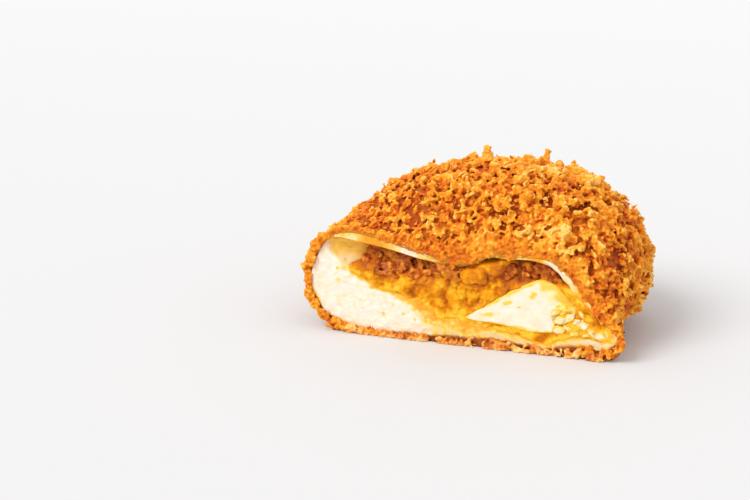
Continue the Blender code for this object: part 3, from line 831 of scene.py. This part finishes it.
def clumpedCrumbs():
    look = crumbLook["clumps"]
    rng = np.random.default_rng(crumbLook["seed"] + 1)
    spots, normals = crustSpots(rng, look["count"], look["spacing"])
    coarse = 0.75 + 0.35 * rises(spots[:, 0], -30, 12)  # finer on the left
    coarse *= rng.uniform(0.7, 1.25, len(coarse))
    nearCut = falls(spots[:, 1] - bun["cutY"], 0.5, 4)
    coarse *= 1 - 0.3 * nearCut * rises(spots[:, 2], 12, 18)
    members = rng.integers(*look["shards"], len(spots), endpoint=True)
    clump = np.repeat(np.arange(len(spots)), members)
    count = len(clump)
    tall = rng.uniform(0.5, 1.5, len(spots))[clump]
    spots, normals, coarse = spots[clump], normals[clump], coarse[clump]
    side = rng.normal(size=(count, 3))
    side -= normals * (side * normals).sum(1)[:, None]
    side *= (look["width"] * coarse * 0.5)[:, None]
    crest = 1 - 0.3 * rises(spots[:, 2], 34, 40)
    flat = 1 - 0.28 * falls(spots[:, 1], -12, -4) * falls(spots[:, 2], 31, 35)
    up = np.abs(rng.normal(0, look["height"], count)) * coarse * crest * tall * flat
    offsets = side + normals * (0.1 + np.minimum(up, look["highest"]))[:, None]
    sizes = rng.uniform(*look["size"], count) * coarse
    return placeShards(rng, spots, normals, offsets, sizes), (spots, normals, offsets, sizes)


def fineCrumbs(clumps):
    # the smallest shards: some on the crust, some on the clumps
    look = crumbLook["fine"]
    rng = np.random.default_rng(crumbLook["seed"])
    spots, normals = crustSpots(rng, look["count"], look["spacing"])
    angle, along = rng.uniform(-0.3, math.pi + 0.5, look["atRim"]), rng.uniform(0.005, 0.13, look["atRim"])
    rimSpots, rimNormals, _ = loafNormals(angle, along)
    angle = np.where(rng.uniform(0, 1, look["onBand"]) < 0.75, rng.uniform(2.35, 3.75, look["onBand"]), 0)
    angle = np.where(angle > 0, angle, rng.uniform(-0.38, 0.12, look["onBand"]))
    within = cutRadius(doughEdge, angle)
    within += (cutRadius(bun["cut"], angle) + 0.4 - within) * rng.uniform(0.1, 1.0, look["onBand"])
    bandSpots = polar(within, angle, bun["cutY"])
    spots = np.concatenate([spots, rimSpots + rimNormals * cragHeight(rimSpots)[:, None], bandSpots])
    normals = np.concatenate([normals, rimNormals, np.tile((0.0, -1.0, 0.0), (look["onBand"], 1))])
    sizes = rng.uniform(*look["size"], len(spots))
    sizes[-look["onBand"] :] *= 1.35
    offsets = normals * (0.15 * sizes)[:, None]
    host = rng.integers(0, len(clumps[0]), look["onClumps"])
    hostSpots, hostNormals, hostOffsets, hostSizes = (part[host] for part in clumps)
    out = rng.normal(size=(len(host), 3)) + 0.8 * hostNormals
    out /= np.linalg.norm(out, axis=1)[:, None]
    return placeShards(
        rng,
        np.concatenate([spots, hostSpots]),
        np.concatenate([normals, hostNormals]),
        np.concatenate([offsets, hostOffsets + out * (0.42 * hostSizes)[:, None]]),
        np.concatenate([sizes, rng.uniform(*look["sizeOnClumps"], len(host))]),
    )


def piledCrumbs():
    rng = np.random.default_rng(crumbLook["seed"] + 2)
    placed = np.array(crumbLook["piles"])
    spots, normals, _ = loafNormals(placed[:, 0], placed[:, 1])
    more, moreNormals = crustSpots(rng, crumbLook["randomPiles"], 7.0)
    length = rng.uniform(3.2, 5.0, len(more))
    rows = [length, length * rng.uniform(0.6, 0.9, len(more)), rng.uniform(1.4, 2.2, len(more)), 0 * length]
    rows = np.concatenate([placed[:, 2:], np.stack(rows, -1)])
    centres = np.concatenate([spots, more])
    members = (6 + 1.7 * rows[:, 0] * rows[:, 1]).astype(int)
    pile = np.repeat(np.arange(len(rows)), members)
    count = len(pile)
    spots, normals = centres[pile], np.concatenate([normals, moreNormals])[pile]
    toned = centres, rows
    rows = rows[pile]
    across = np.cross(normals, np.array([0.0, 1.0, 0.25]))  # roughly level, along the cut
    across /= np.linalg.norm(across, axis=1)[:, None]
    around, out = rng.uniform(0, 2 * math.pi, count), np.sqrt(rng.uniform(0, 1, count))
    level = rng.uniform(0, 1, count) ** 0.7
    taper = 1 - 0.55 * level
    offsets = across * (0.5 * rows[:, 0] * out * np.cos(around) * taper)[:, None]
    offsets += np.cross(across, normals) * (0.5 * rows[:, 1] * out * np.sin(around) * taper)[:, None]
    offsets += normals * (rows[:, 2] * level * (1 - 0.5 * out**2))[:, None]
    sizes = rng.uniform(*crumbLook["pileShard"], count) * (1 - 0.3 * level)
    return placeShards(rng, spots, normals, offsets, sizes), toned


def soleCrumbs():
    # crumbs pressed under the bun that show along the foot of the cut
    look = crumbLook["sole"]
    rng = np.random.default_rng(crumbLook["seed"] + 3)
    x = rng.uniform(look["from"], look["to"], look["count"])
    inClump = look["inClump"]
    for i, (middle, spread) in enumerate(look["clumps"]):
        x[i * inClump : (i + 1) * inClump] = rng.normal(middle, spread, inClump)
    for start, end in look["gaps"]:
        x = x[(x < start) | (x > end)]
    x = x[(x < 11.0) | (x > 27.0) | (rng.uniform(0, 1, len(x)) < 0.45)]  # fewer under the chicken
    count = len(x)
    z = rng.uniform(-0.4, 0.9, count) + 0.8 * rises(-x, 26, 33)
    z += np.where(rng.uniform(0, 1, count) < 0.22, 1.1, 0.0) * rises(x, -1, 3)
    spots = np.stack([x, bun["cutY"] + rng.uniform(-0.3, 0.4, count), z], -1)
    normals = np.tile((0.0, -1.0, 0.0), (count, 1))
    sizes = rng.uniform(*look["size"], count) * (1 + 0.15 * rises(-x, 5, 15))
    offsets = normals * (rng.uniform(0.0, 0.7, count) + 0.8 * falls(z, 0, 0.9))[:, None]  # a skirt
    return placeShards(rng, spots, normals, offsets, sizes)


def neighbourMean(edges, values):
    # the mean of each vertex's neighbours, column by column
    count = len(values)
    ends = edges.ravel()
    sums = [np.bincount(ends, column[edges[:, ::-1].ravel()], count) for column in values.T]
    return np.stack(sums, -1) / np.maximum(np.bincount(ends, minlength=count), 1)[:, None]


def fuseCrumbs(name, verts, faces, voxel, crust, toned):
    # shards that touch become one ragged clump; the lower and deeper a place is, the darker it is painted, as
    # painted shade in the gaps between the crumbs
    starts = np.arange(len(verts)) * verts.shape[1]
    obj = meshObject(name, verts.reshape(-1, 3), (faces[None] + starts[:, None, None]).reshape(-1, 3))
    fuse(obj, voxel)

    mesh = obj.data
    points, normals = readVertices(mesh)
    height = np.empty(len(points))
    for i, point in enumerate(points * mm):
        place, facing, _, _ = crust.find_nearest(point)
        height[i] = (Vector(point) - place).dot(facing) / mm
    height = np.maximum(height, bun["cutY"] - points[:, 1])
    for i, (size, rise) in enumerate(crumbLook["ragged"]):
        points += normals * (rise * noiseAt(points, size, 3.1 * i))[:, None]
    points[:, 2] = np.maximum(points[:, 2], 0.01)
    moveVertices(mesh, points)
    shaped = bmesh.new()
    shaped.from_mesh(mesh)
    buried = [v for v, h in zip(shaped.verts, height) if h < -crumbLook["buried"]]
    bmesh.ops.delete(shaped, geom=buried, context="VERTS")
    shaped.to_mesh(mesh)
    shaped.free()
    keep = height >= -crumbLook["buried"]
    points, normals, height = points[keep], normals[keep], height[keep]
    edges = np.empty(len(mesh.edges) * 2, int)
    mesh.edges.foreach_get("vertices", edges)
    edges = edges.reshape(-1, 2)

    bulge = ((points - neighbourMean(edges, points)) * normals).sum(1)[:, None]
    for _ in range(2):
        bulge = 0.5 * bulge + 0.5 * neighbourMean(edges, bulge)
    # painted shade: darker the lower a place lies above the crust; painted highlights: paler where the
    # surface bulges out
    tone = 0.24 + 0.38 * rises(height, -0.1, 2) + 1.05 * bulge[:, 0] / voxel
    patches = 0.16 + 0.2 * rises(points[:, 0], 8, 24)  # browned unevenly, most of all on the right
    tone += 0.2 * noiseAt(points, 2.2, 5) + patches * noiseAt(points, 7, 2)
    for (x, y, z), (length, _, _, shift) in zip(*toned):
        away = np.linalg.norm(points - (x, y, z + bun["crustLift"]), axis=1)
        tone += shift * falls(away, 0.4 * length, 0.4 * length + 1)
    behind = points[:, 1] - bun["cutY"]
    # paler near the cut: less painted shade there
    tone += 0.08 * falls(behind, 1, 6) + 0.04 * falls(behind, 0.3, 1.8)
    # darker on the right: browner crumbs, and painted shade on the side turned from the light
    tone -= 0.05 * rises(points[:, 0], 24, 34)
    # paler low places in the front middle: less painted shade in their gaps
    frontMiddle = rises(points[:, 0], -8, 2) * falls(points[:, 0], 22, 30)
    tone += 0.08 * frontMiddle * falls(height, 0.2, 1.4) * falls(behind, 14, 20)
    if name == "crumbsSole":
        tone += 0.45 * noiseAt(points, 4.5, 11)
    setAttribute(obj, "tone", tone)
    asPiece(obj, materials["sole" if name == "crumbsSole" else "crumbs"], "bread", smooth=False)


def fromLowest(corners):  # the same loop of corners, begun at the lowest
    corners = list(corners)
    start = corners.index(min(corners))
    return corners[start:] + corners[:start]


def makeCrumbs():
    shell = bpy.data.objects["breadShell"].data
    # a sphere's faces come in another order on each run, so they are sorted to give the same crumbs
    sides = sorted(fromLowest(p.vertices) for p in shell.polygons)
    crust = BVHTree.FromPolygons([v.co for v in shell.vertices], sides)
    (clumped, faces), clumps = clumpedCrumbs()
    fine, _ = fineCrumbs(clumps)
    (piled, _), toned = piledCrumbs()
    shards = np.concatenate([clumped, fine, piled])
    middle = shards[..., 1].mean(1)
    for name, (start, end, voxel) in crumbLook["sections"].items():
        fuseCrumbs(name, shards[(middle >= start) & (middle < end)], faces, voxel, crust, toned)
    sole, _ = soleCrumbs()
    fuseCrumbs("crumbsSole", sole, faces, crumbLook["sole"]["voxel"], crust, toned)


makeCrumbs()


# the filling: the sauce is shaped round the chicken and the coated chunk, so their sizes come first
chickenLook = {
    "face": [
        (0.5, 6.4), (2.6, 8.5), (7.4, 11.5), (11.4, 14.4), (15.3, 16.6), (19.8, 18.8), (22.7, 18.5),
        (25.8, 17.2), (28.6, 14.2), (30.6, 12.0), (27.4, 10.6), (25.2, 9.4), (25.0, 7.2),
        (24.6, 5.3), (20.9, 4.7), (16.9, 4.7), (12.9, 5.3), (7.5, 5.9),
    ],
    "centre": (17.0, 10.5),
    "depth": 13.0,
    "segments": 220,
    "faceRings": 40,
    "sideRings": 16,
    "smears": [  # x, z, half width, half height
        (6.8, 8.3, 3.6, 0.8), (12.0, 12.0, 1.9, 0.7), (18.6, 14.8, 1.3, 1.6), (15.3, 11.2, 1.0, 0.5),
    ],
}

potatoLook = {
    "centre": (2.7, 18.2),
    "half": (3.9, 3.4, 2.6),  # width, depth and height
    "tilt": 8.0,
    "behind": 0.25,  # how far its flat face stays behind the cut
    "segments": 120,
    "rings": 72,
}

curryLook = {
    "segments": 440,
    "faceRings": 84,
    "backRings": 12,
    "middle": (3.0, 12.5),
    "seed": 5,
    "chunks": 330,
    "chunkSize": (0.8, 2.4),  # the smallest, and how much larger the largest is
    "hole": (-14.5, 19.2, 1.3),  # x, z and radius of the dark gap between the strips
    "skinGap": (7.2, 23.6, 2.4),  # and of the one under the skin
    "behind": {"cut": 0.7, "pocket": 3.8, "skin": 2.0, "top": 1.8, "hole": 3.0, "skinGap": 5.0},  # the cut
    "depth": 46.0,
}


def fillingDepth(x, z, fromTop):  # how far the filling stays behind the cut
    pocketSide = rises(z, 14.5 + 2.5 * rises(-x, 20, 25), 20.5) * rises(-x, 4, 12)
    underSkin = rises(z, 16.5, 20) * rises(x, 9, 14)
    shade = falls(fromTop, 0, 2.4)
    hx, hz, hr = curryLook["hole"]
    hole = falls(np.hypot(x - hx, z - hz), 0.3 * hr, 1.5 * hr)
    gx, gz, gr = curryLook["skinGap"]
    gap = falls(np.hypot((x - gx) / 1.6, z - gz), 0, gr)
    far = curryLook["behind"]
    depth = far["cut"] + far["pocket"] * pocketSide + far["skin"] * underSkin
    return depth + far["top"] * shade + far["hole"] * hole + far["skinGap"] * gap


def insideLoop(outline, x, z, soft):  # 1 well inside an outline, 0 outside it
    loop = smoothLoop(outline, 6)
    after = np.roll(loop, -1, 0)
    away, crossings = np.full(len(x), 99.0), np.zeros(len(x), int)
    for (ax, az), (bx, bz) in zip(loop, after):
        t = np.clip(((x - ax) * (bx - ax) + (z - az) * (bz - az)) / ((bx - ax) ** 2 + (bz - az) ** 2), 0, 1)
        away = np.minimum(away, np.hypot(x - ax - t * (bx - ax), z - az - t * (bz - az)))
        between = (az > z) != (bz > z)
        crossings += between & (x < ax + (z - az) * (bx - ax) / np.where(between, bz - az, 1))
    return rises(np.where(crossings % 2 == 1, away, -away), 0, soft)


def chunkField(x, z):
    # rounded chunks of many sizes packed side by side: height above the sauce and tone of each
    rng = np.random.default_rng(curryLook["seed"])
    count = curryLook["chunks"]
    centres = rng.uniform((-35, 2), (41, 26), (count, 2))
    smallest, more = curryLook["chunkSize"]
    sizes = smallest + more * rng.uniform(0, 1, count) ** 2
    angles = rng.uniform(0, math.pi, count)
    aspect = rng.uniform(0.5, 1.0, count)
    tones = rng.normal(0, 0.08, count)
    best, chosen = np.full(len(x), -9.0), np.zeros(len(x), int)
    for i in range(count):
        dx, dz = x - centres[i, 0], z - centres[i, 1]
        u = (dx * math.cos(angles[i]) + dz * math.sin(angles[i])) / sizes[i]
        v = (dz * math.cos(angles[i]) - dx * math.sin(angles[i])) / (sizes[i] * aspect[i])
        dome = sizes[i] * 0.45 * (1 - (u * u + v * v))
        better = dome > best
        best, chosen = np.where(better, dome, best), np.where(better, i, chosen)
    return np.clip(best, -0.5, 2.0), tones[chosen]


def makeCurry():
    look = curryLook
    rings = look["faceRings"] + look["backRings"]
    obj, segment, ring = sphereGrid("curryFilling", look["segments"], rings)
    angle = evenAngles(look["segments"])[segment]
    back = np.clip(1 - ring / look["backRings"], 0, 1)  # 1 at the far tip, 0 at the rim
    inward = np.clip((ring - look["backRings"]) / look["faceRings"], 0, 1)
    middle = np.array([look["middle"][0], 0.0, look["middle"][1]])
    torn = tornEdge(angle)
    rim = polar(hollowRadius(angle, pocket["depth"]), angle, 0.0)
    for _ in range(3):  # the rim follows the slope of the dough to its own depth
        depth = fillingDepth(rim[:, 0], rim[:, 2], 0.0)
        rim = polar(hollowRadius(angle, depth) + torn + 0.5 + 1.2 * pocketAmount(angle), angle, 0.0)
    points = middle + (rim - middle) * (1 - inward)[:, None]
    x, z = points[:, 0], points[:, 2]
    fromRim = np.linalg.norm(rim - middle, axis=1) * inward
    onTop = rises(np.sin(angle) * np.linalg.norm(rim - middle, axis=1), 2, 6)
    front = fillingDepth(x, z, np.where(onTop > 0.5, fromRim, 9.0))
    raised, chunkTone = chunkField(x + 0.5 * noiseAt(points, 1.6), z + 0.5 * noiseAt(points, 1.6, 9))
    lumps = 0.8 * np.maximum(raised, -0.3) + 0.7 * noiseAt(points, 3.5) + 0.5 * noiseAt(points, 1.1, 3)
    flush = 1 - rises(fromRim, 0, 1.6) * (1 - onTop) - onTop
    front = np.maximum(front - lumps * (1 - 0.7 * np.clip(flush, 0, 1)), 0.15)
    front += 1.8 * insideLoop(chickenLook["face"], x, z, 0.8)
    px, pz = potatoLook["centre"]
    fromPotato = np.hypot((x - px) / potatoLook["half"][0], (z - pz) / potatoLook["half"][2])
    front = np.maximum(front, 1.9 * falls(fromPotato, 0.74, 0.95))
    points[:, 1] = bun["cutY"] + front
    shrink = (1 - back**2.5) ** 0.5
    body = middle + (rim - middle) * (0.98 * shrink)[:, None]
    body[:, 1] = bun["cutY"] + front * (1 - back) + look["depth"] * back
    points = np.where((back > 0)[:, None], body, points)
    moveVertices(obj.data, lifted(points))
    upperLeft = rises(z, 14.5, 18.5) * rises(-x, 5, 11)
    upperRight = rises(z, 16.5, 19) * rises(x, 9.5, 13)
    low = falls(z, 8, 14)
    nearRim = falls(fromRim + 1.2 * noiseAt(points, 2), 0.3, 2.2) * (1 - onTop)
    tone = 0.62 + chunkTone + 0.14 * np.clip(raised, -0.5, 0.8) + 0.10 * low
    tone += 0.22 * nearRim + 0.3 * noiseAt(points, 3.2, 7)
    # darker at the upper left and right: the brown of meat and onion there, and painted shade under the skin;
    # darker still where the sauce lies deeper behind the cut: painted shade in the recess
    tone += -0.34 * upperLeft - 0.26 * upperRight - 0.10 * rises(front, 2.5, 5.5)
    tone += 0.14 * falls(z, 15.5, 18.5) * falls(x, -22, -14)
    tone += 0.3 * falls(z, 17.6, 19.4) * rises(z, 14.5, 16) * falls(x, -26, -23)
    tone -= 0.30 * rises(fromPotato, 0.7, 0.9) * falls(fromPotato, 1, 1.3)  # painted shade in a groove round the chunk
    setAttribute(obj, "tone", tone)
    asPiece(obj, materials["curry"], "curry", "curry")


makeCurry()


def makeChicken():
    look = chickenLook
    rings = look["sideRings"] + look["faceRings"]
    obj, segment, ring = sphereGrid("chickenWedge", look["segments"], rings)
    loop = smoothLoop(look["face"], 24)
    closed = np.concatenate([loop, loop[:1]])
    travelled = np.concatenate([[0], np.cumsum(np.linalg.norm(np.diff(closed, axis=0), axis=1))])
    at = segment / look["segments"] * travelled[-1]
    edgeX, edgeZ = np.interp(at, travelled, closed[:, 0]), np.interp(at, travelled, closed[:, 1])
    back = np.clip(1 - ring / look["sideRings"], 0, 1)
    inward = np.clip((ring - look["sideRings"]) / look["faceRings"], 0, 1)
    cx, cz = look["centre"]
    shrink = (1 - inward) * (1 - back**3) ** 0.5 * (1 - 0.25 * back)
    x, z = cx + (edgeX - cx) * shrink, cz + (edgeZ - cz) * shrink
    points = np.stack([x, 0 * x, z], -1)
    fibre = 0.06 * noiseAt(points * (0.6, 1, 1.3), 1.6) + 0.2 * noiseAt(points, 5, 3)
    torn = rises(x, 23, 26) * falls(z, 12, 15)
    ragged = torn * (1.1 * np.abs(noiseAt(points, 1.3, 6)) + 0.8 * noiseAt(points, 2.6, 4))
    rounding = 0.5 * falls(inward, 0, 0.05)
    points[:, 1] = bun["cutY"] + 0.3 + rounding + fibre + ragged + back * look["depth"]
    moveVertices(obj.data, lifted(points))
    smears = np.zeros(len(points))
    wobble = noiseAt(points, 1.2)
    for sx, sz, wide, tall in look["smears"]:
        away = np.hypot((x - sx) / wide, (z - sz - 0.12 * (x - sx)) / tall) + 0.45 * wobble
        smears = np.maximum(smears, 0.62 * falls(away, 0.35, 1.05))
    fromEdge = (1 - shrink) * np.hypot(edgeX - cx, edgeZ - cz)
    edge = 0.8 * falls(fromEdge + 0.8 * noiseAt(points, 1.8, 1), 0.2, 1.5)
    upperRight = rises(x + 0.75 * z + 3 * noiseAt(points, 2.5), 32, 38)
    stain = np.maximum.reduce([smears, edge, 0.9 * upperRight, 0.55 * torn + 0.4 * torn * wobble, 2 * back])
    setAttribute(obj, "stain", stain)
    asPiece(obj, materials["chicken"], "chicken", "chicken")


makeChicken()


def makePotato():
    # a rounded block coated with sauce, its nearer side cut flat
    look = potatoLook
    obj, segment, ring = sphereGrid("coatedPotato", look["segments"], look["rings"])
    around = segment / look["segments"] * 2 * math.pi
    away = ring / look["rings"] * math.pi  # 0 at the back
    direction = np.stack([np.sin(away) * np.cos(around), np.cos(away), np.sin(away) * np.sin(around)], -1)
    unit = direction / (np.abs(direction) ** 5).sum(1)[:, None] ** (1 / 5)
    points = unit * look["half"]
    tilt = math.radians(look["tilt"])
    x = points[:, 0] * math.cos(tilt) - points[:, 2] * math.sin(tilt)
    z = points[:, 0] * math.sin(tilt) + points[:, 2] * math.cos(tilt)
    cx, cz = look["centre"]
    points = np.stack([cx + x, bun["cutY"] + look["behind"] + look["half"][1] + points[:, 1], cz + z], -1)
    points += direction * (1.0 * noiseAt(points, 3.2, 1) + 0.45 * noiseAt(points, 1.3, 4))[:, None]
    moveVertices(obj.data, lifted(points))
    # a little paler where it faces up: painted light from above
    setAttribute(obj, "tone", 0.66 + 0.04 * direction[:, 2] + 0.2 * noiseAt(points, 3, 8))
    asPiece(obj, materials["curry"], "potato", "potato")


makePotato()


stripLook = {
    "segments": 28,
    "rings": 40,
    "strips": {  # x, z and depth along each strip, half width, half thickness, tone, CAD node it stands for
        "onionA": ([(-26.4, 23.6, 4.4), (-25.2, 20.8, 3.9), (-23.8, 17.6, 3.2)], 1.3, 0.45, 0.50, "onion_1"),
        "onionB": ([(-23.8, 22.6, 4.4), (-20.6, 21.0, 3.8), (-15.6, 17.6, 3.4)], 1.2, 0.45, 0.56, "onion_2"),
        "onionC": ([(-13.0, 21.6, 3.2), (-12.4, 18.4, 2.5), (-10.6, 14.8, 1.9)], 1.0, 0.45, 0.48, "onion_3"),
        "onionD": ([(9.6, 21.6, 2.4), (11.3, 18.4, 1.8), (10.0, 15.2, 1.2)], 0.8, 0.45, 0.48, "onion_4"),
    },
    "seed": 8,
    "shreds": [  # fields of torn shreds: from x, to x, from z, to z, how many, half width, tone
        (-27.5, -8.0, 17.0, 24.0, 26, 1.35, 0.34),
        (-25.0, -7.0, 15.5, 18.0, 14, 0.6, 0.52),
        (-8.0, 0.0, 16.5, 20.5, 9, 0.55, 0.52),
        (11.0, 25.0, 19.0, 23.0, 15, 0.85, 0.40),
    ],
    "proud": 0.35,  # how far they stand out of the sauce
    "voxel": 0.28,
    "ragged": [(1.6, 0.45), (0.7, 0.16)],  # size and height of the roughness on them
}


def stripPoints(segment, ring, path, wide, thick, seed, rings, segments):
    # a bent ribbon, its broad side towards the cut
    along = np.clip(ring / rings, 0, 1)
    start, middle, end = (np.array([x, bun["cutY"] + depth, z]) for x, z, depth in path)
    t = along[:, None]
    spine = (1 - t) ** 2 * start + 2 * t * (1 - t) * (2 * middle - 0.5 * (start + end)) + t**2 * end
    towards = (end - start) / np.linalg.norm(end - start)
    across = np.cross(towards, (0, 1, 0))
    out = np.cross(towards, across)
    around = segment / segments * 2 * math.pi
    taper = (1 - np.abs(2 * along - 1) ** 4) ** 0.5
    wave = 1 + 0.6 * noiseAt(spine, 2.2, seed)
    spine = spine + out * (0.5 * noiseAt(spine, 1.8, seed + 6))[:, None]
    points = spine + across * (wide * wave * taper * np.cos(around))[:, None]
    points += out * (thick * taper * np.sin(around))[:, None]
    fibres = 0.05 * np.cos(6 * around + 2 * along) + 0.18 * noiseAt(points, 1.8, seed + 3)
    return points + out * (fibres * taper * np.sin(around))[:, None]


def makeStrips():
    look = stripLook
    for i, (name, (path, wide, thick, tone, node)) in enumerate(look["strips"].items()):
        obj, segment, ring = sphereGrid(name, look["segments"], look["rings"])
        points = stripPoints(segment, ring, path, wide, thick, i, look["rings"], look["segments"])
        points += 0.5 * noiseAt(points, 1.1, 7)[:, None]
        moveVertices(obj.data, lifted(points))
        setAttribute(obj, "tone", tone + 0.4 * noiseAt(points, 1.6, 5))
        asPiece(obj, materials["onion"], node, node)


def makeShreds():
    # torn shreds tangled in the sauce, fused where they touch
    look = stripLook
    rng = np.random.default_rng(look["seed"])
    parts, tones, middles = [], [], []
    for x0, x1, z0, z1, count, wide, tone in look["shreds"]:
        for _ in range(count):
            x, z = rng.uniform(x0, x1), rng.uniform(z0, z1)
            turn, length = rng.normal(1.9, 0.7), rng.uniform(2.2, 5.0)
            dx, dz = 0.5 * length * math.cos(turn), 0.5 * length * math.sin(turn)
            bend = rng.normal(0, 0.6, 2)
            path = []
            for px, pz in ((x - dx, z - dz), (x + bend[0], z + bend[1]), (x + dx, z + dz)):
                path.append((px, pz, fillingDepth(px, pz, 9.0) - look["proud"] * rng.uniform(-0.6, 1.8)))
            obj, segment, ring = sphereGrid("onionShreds", 12, 14)
            half = wide * rng.uniform(0.6, 1.5)
            points = stripPoints(segment, ring, path, half, 0.55 * half, rng.uniform(0, 50), 14, 12)
            moveVertices(obj.data, lifted(points))
            parts.append(obj)
            middles.append(points.mean(0))
            tones.append(tone + rng.normal(0, 0.10))
    clearSelection()
    for obj in parts:
        obj.select_set(True)
    bpy.context.view_layer.objects.active = parts[0]
    bpy.ops.object.join()
    obj = parts[0]
    fuse(obj, look["voxel"])
    points, normals = readVertices(obj.data)
    for size, height in look["ragged"]:
        points += normals * (height * noiseAt(points, size, 2))[:, None]
    moveVertices(obj.data, points)
    nearest = np.argmin(((points[:, None] - np.array(middles)[None]) ** 2).sum(2), 1)
    setAttribute(obj, "tone", np.array(tones)[nearest] + 0.5 * noiseAt(points, 1.3, 5))
    asPiece(obj, materials["onion"], "onion_1")


makeStrips()
makeShreds()


flakeLook = {
    "seed": 3,
    "grown": (1.5, 1.0, 1.6),  # each drawn larger than it stays, as its noise pulls it in
    "flakes": [  # x, z, length, width, turn in degrees, stain
        (26.2, 8.9, 2.6, 1.3, 20, 0.25), (28.6, 9.9, 3.0, 1.2, 38, 0.30), (26.0, 6.1, 2.2, 1.5, 10, 0.30),
        (28.2, 6.9, 1.8, 1.0, -20, 0.45), (30.6, 8.9, 1.8, 1.0, 15, 0.35), (32.4, 8.3, 2.6, 1.5, -25, 0.20),
        (34.6, 6.3, 2.0, 1.2, -30, 0.35), (36.4, 5.7, 2.4, 1.3, -10, 0.25), (30.0, 5.6, 1.8, 0.8, 5, 0.50),
        (28.9, 12.1, 2.0, 0.9, -30, 0.45), (31.6, 10.9, 1.6, 0.7, -50, 0.55), (33.2, 5.6, 1.6, 0.7, 20, 0.50),
        (24.9, 10.9, 2.0, 0.8, 35, 0.40), (38.2, 6.4, 1.4, 0.8, -60, 0.50),
    ],
}


def makeFlakes():
    # torn flakes of chicken in the sauce, each a ragged plate
    rng = np.random.default_rng(flakeLook["seed"])
    grown = flakeLook["grown"]
    corners, faces = ballShape(4)
    verts, stains, allFaces = [], [], []
    for i, (x, z, length, wide, turn, stain) in enumerate(flakeLook["flakes"]):
        ragged = 0.6 * noiseAt(corners, 0.45, 5 * i) + 0.08 * noiseAt(corners, 0.15, 9 * i)
        shape = corners * (1 + ragged)[:, None] * (grown[0] * length, grown[1], grown[2] * wide)
        turn = math.radians(turn)
        u = shape[:, 0] * math.cos(turn) - shape[:, 2] * math.sin(turn)
        v = shape[:, 0] * math.sin(turn) + shape[:, 2] * math.cos(turn)
        depth = bun["cutY"] + rng.uniform(0.25, 0.45) + 0.15 * u
        placed = np.stack([x + u, np.maximum(depth + shape[:, 1], bun["cutY"] + 0.03), z + v], -1)
        verts.append(placed)
        allFaces.append(faces + i * len(corners))
        edge = rises(np.hypot(shape[:, 0] / length, shape[:, 2] / wide), 0.35, 0.9)
        grain = 0.5 * noiseAt(placed, 1, 3) + 0.5 * np.clip(shape[:, 1] + 0.2, 0, 1)
        stains.append(stain + 0.04 + 0.45 * edge + grain)
    obj = meshObject("chickenFlakes", np.concatenate(verts), np.concatenate(allFaces))
    setAttribute(obj, "stain", np.concatenate(stains))
    asPiece(obj, materials["chicken"], "chicken")


makeFlakes()


floorLook = {"size": 6.0, "near": (0.65, 0.645, 0.645), "far": (0.69, 0.685, 0.685)}


def makeFloor():
    clearSelection()
    bpy.ops.mesh.primitive_plane_add(size=floorLook["size"], location=(0, 0, 0))
    floor = bpy.context.object
    floor.name = "floor"
    material, tree, surface = newMaterial("paleFloor", {"Roughness": 0.8, "Specular IOR Level": 0.1})
    where = addNode(tree, "ShaderNodeTexCoord").outputs["Object"]
    behind = addNode(tree, "ShaderNodeSeparateXYZ", Vector=where).outputs["Y"]
    away = calculated(tree, "MULTIPLY_ADD", behind, 1.2, 0.3)  # a little paler further back: painted light
    tint = ramp(tree, away, [(0.0, floorLook["near"]), (1.0, floorLook["far"])])
    setSocket(tree, surface.inputs["Base Color"], tint)
    floor.data.materials.append(material)


lightLook = {
    "sky": 0.95,
    "backdrop": 0.955,
    "keyStrength": 2.0,
    "keySpread": 35.0,
    "keyFrom": (-0.50, -0.62, 0.80),
}


def makeLight():
    world = bpy.data.worlds.new("studio")
    bpy.context.scene.world = world
    world.use_nodes = True
    tree = world.node_tree
    background = tree.nodes["Background"]
    background.inputs["Color"].default_value = (1, 1, 1, 1)
    seen = addNode(tree, "ShaderNodeLightPath").outputs["Is Camera Ray"]
    levels = {"To Min": lightLook["sky"], "To Max": lightLook["backdrop"]}
    strength = addNode(tree, "ShaderNodeMapRange", Value=seen, **levels)
    setSocket(tree, background.inputs["Strength"], strength.outputs["Result"])
    bpy.ops.object.light_add(type="SUN", location=lightLook["keyFrom"])
    key = bpy.context.object
    key.name = "keyLight"
    key.data.angle = math.radians(lightLook["keySpread"])
    key.data.energy = lightLook["keyStrength"]
    key.rotation_euler = Vector(lightLook["keyFrom"]).to_track_quat("Z", "Y").to_euler()
    bpy.context.scene.view_settings.view_transform = "Standard"


cameraLook = {
    "azimuth": 20.0,
    "elevation": 16.0,
    "lens": 85.0,
    "distance": 0.464,
    "photoSize": (750, 500),
    "cutFootPixel": (462, 345),  # the middle of the cut's lower edge in the photo
}


def makeCamera():
    look = cameraLook
    a, e = math.radians(look["azimuth"]), math.radians(look["elevation"])
    back = Vector((math.sin(a) * math.cos(e), -math.cos(a) * math.cos(e), math.sin(e)))
    right = Vector((math.cos(a), math.sin(a), 0))
    up = back.cross(right)
    data = bpy.data.cameras.new("photoCamera")
    data.lens, data.sensor_width, data.clip_start = look["lens"], 36.0, 0.01
    camera = bpy.data.objects.new("photoCamera", data)
    bpy.context.scene.collection.objects.link(camera)
    width, height = look["photoSize"]
    perPixel = look["distance"] / (look["lens"] / 36.0 * width)
    offRight = (look["cutFootPixel"][0] - width / 2) * perPixel
    offUp = (height / 2 - look["cutFootPixel"][1]) * perPixel
    cutFoot = Vector((0, bun["cutY"] * mm, 0))
    camera.location = cutFoot + back * look["distance"] - right * offRight - up * offUp
    camera.rotation_euler = back.to_track_quat("Z", "Y").to_euler()
    bpy.context.scene.camera = camera


makeFloor()
makeLight()
makeCamera()
print("floor, light and camera")
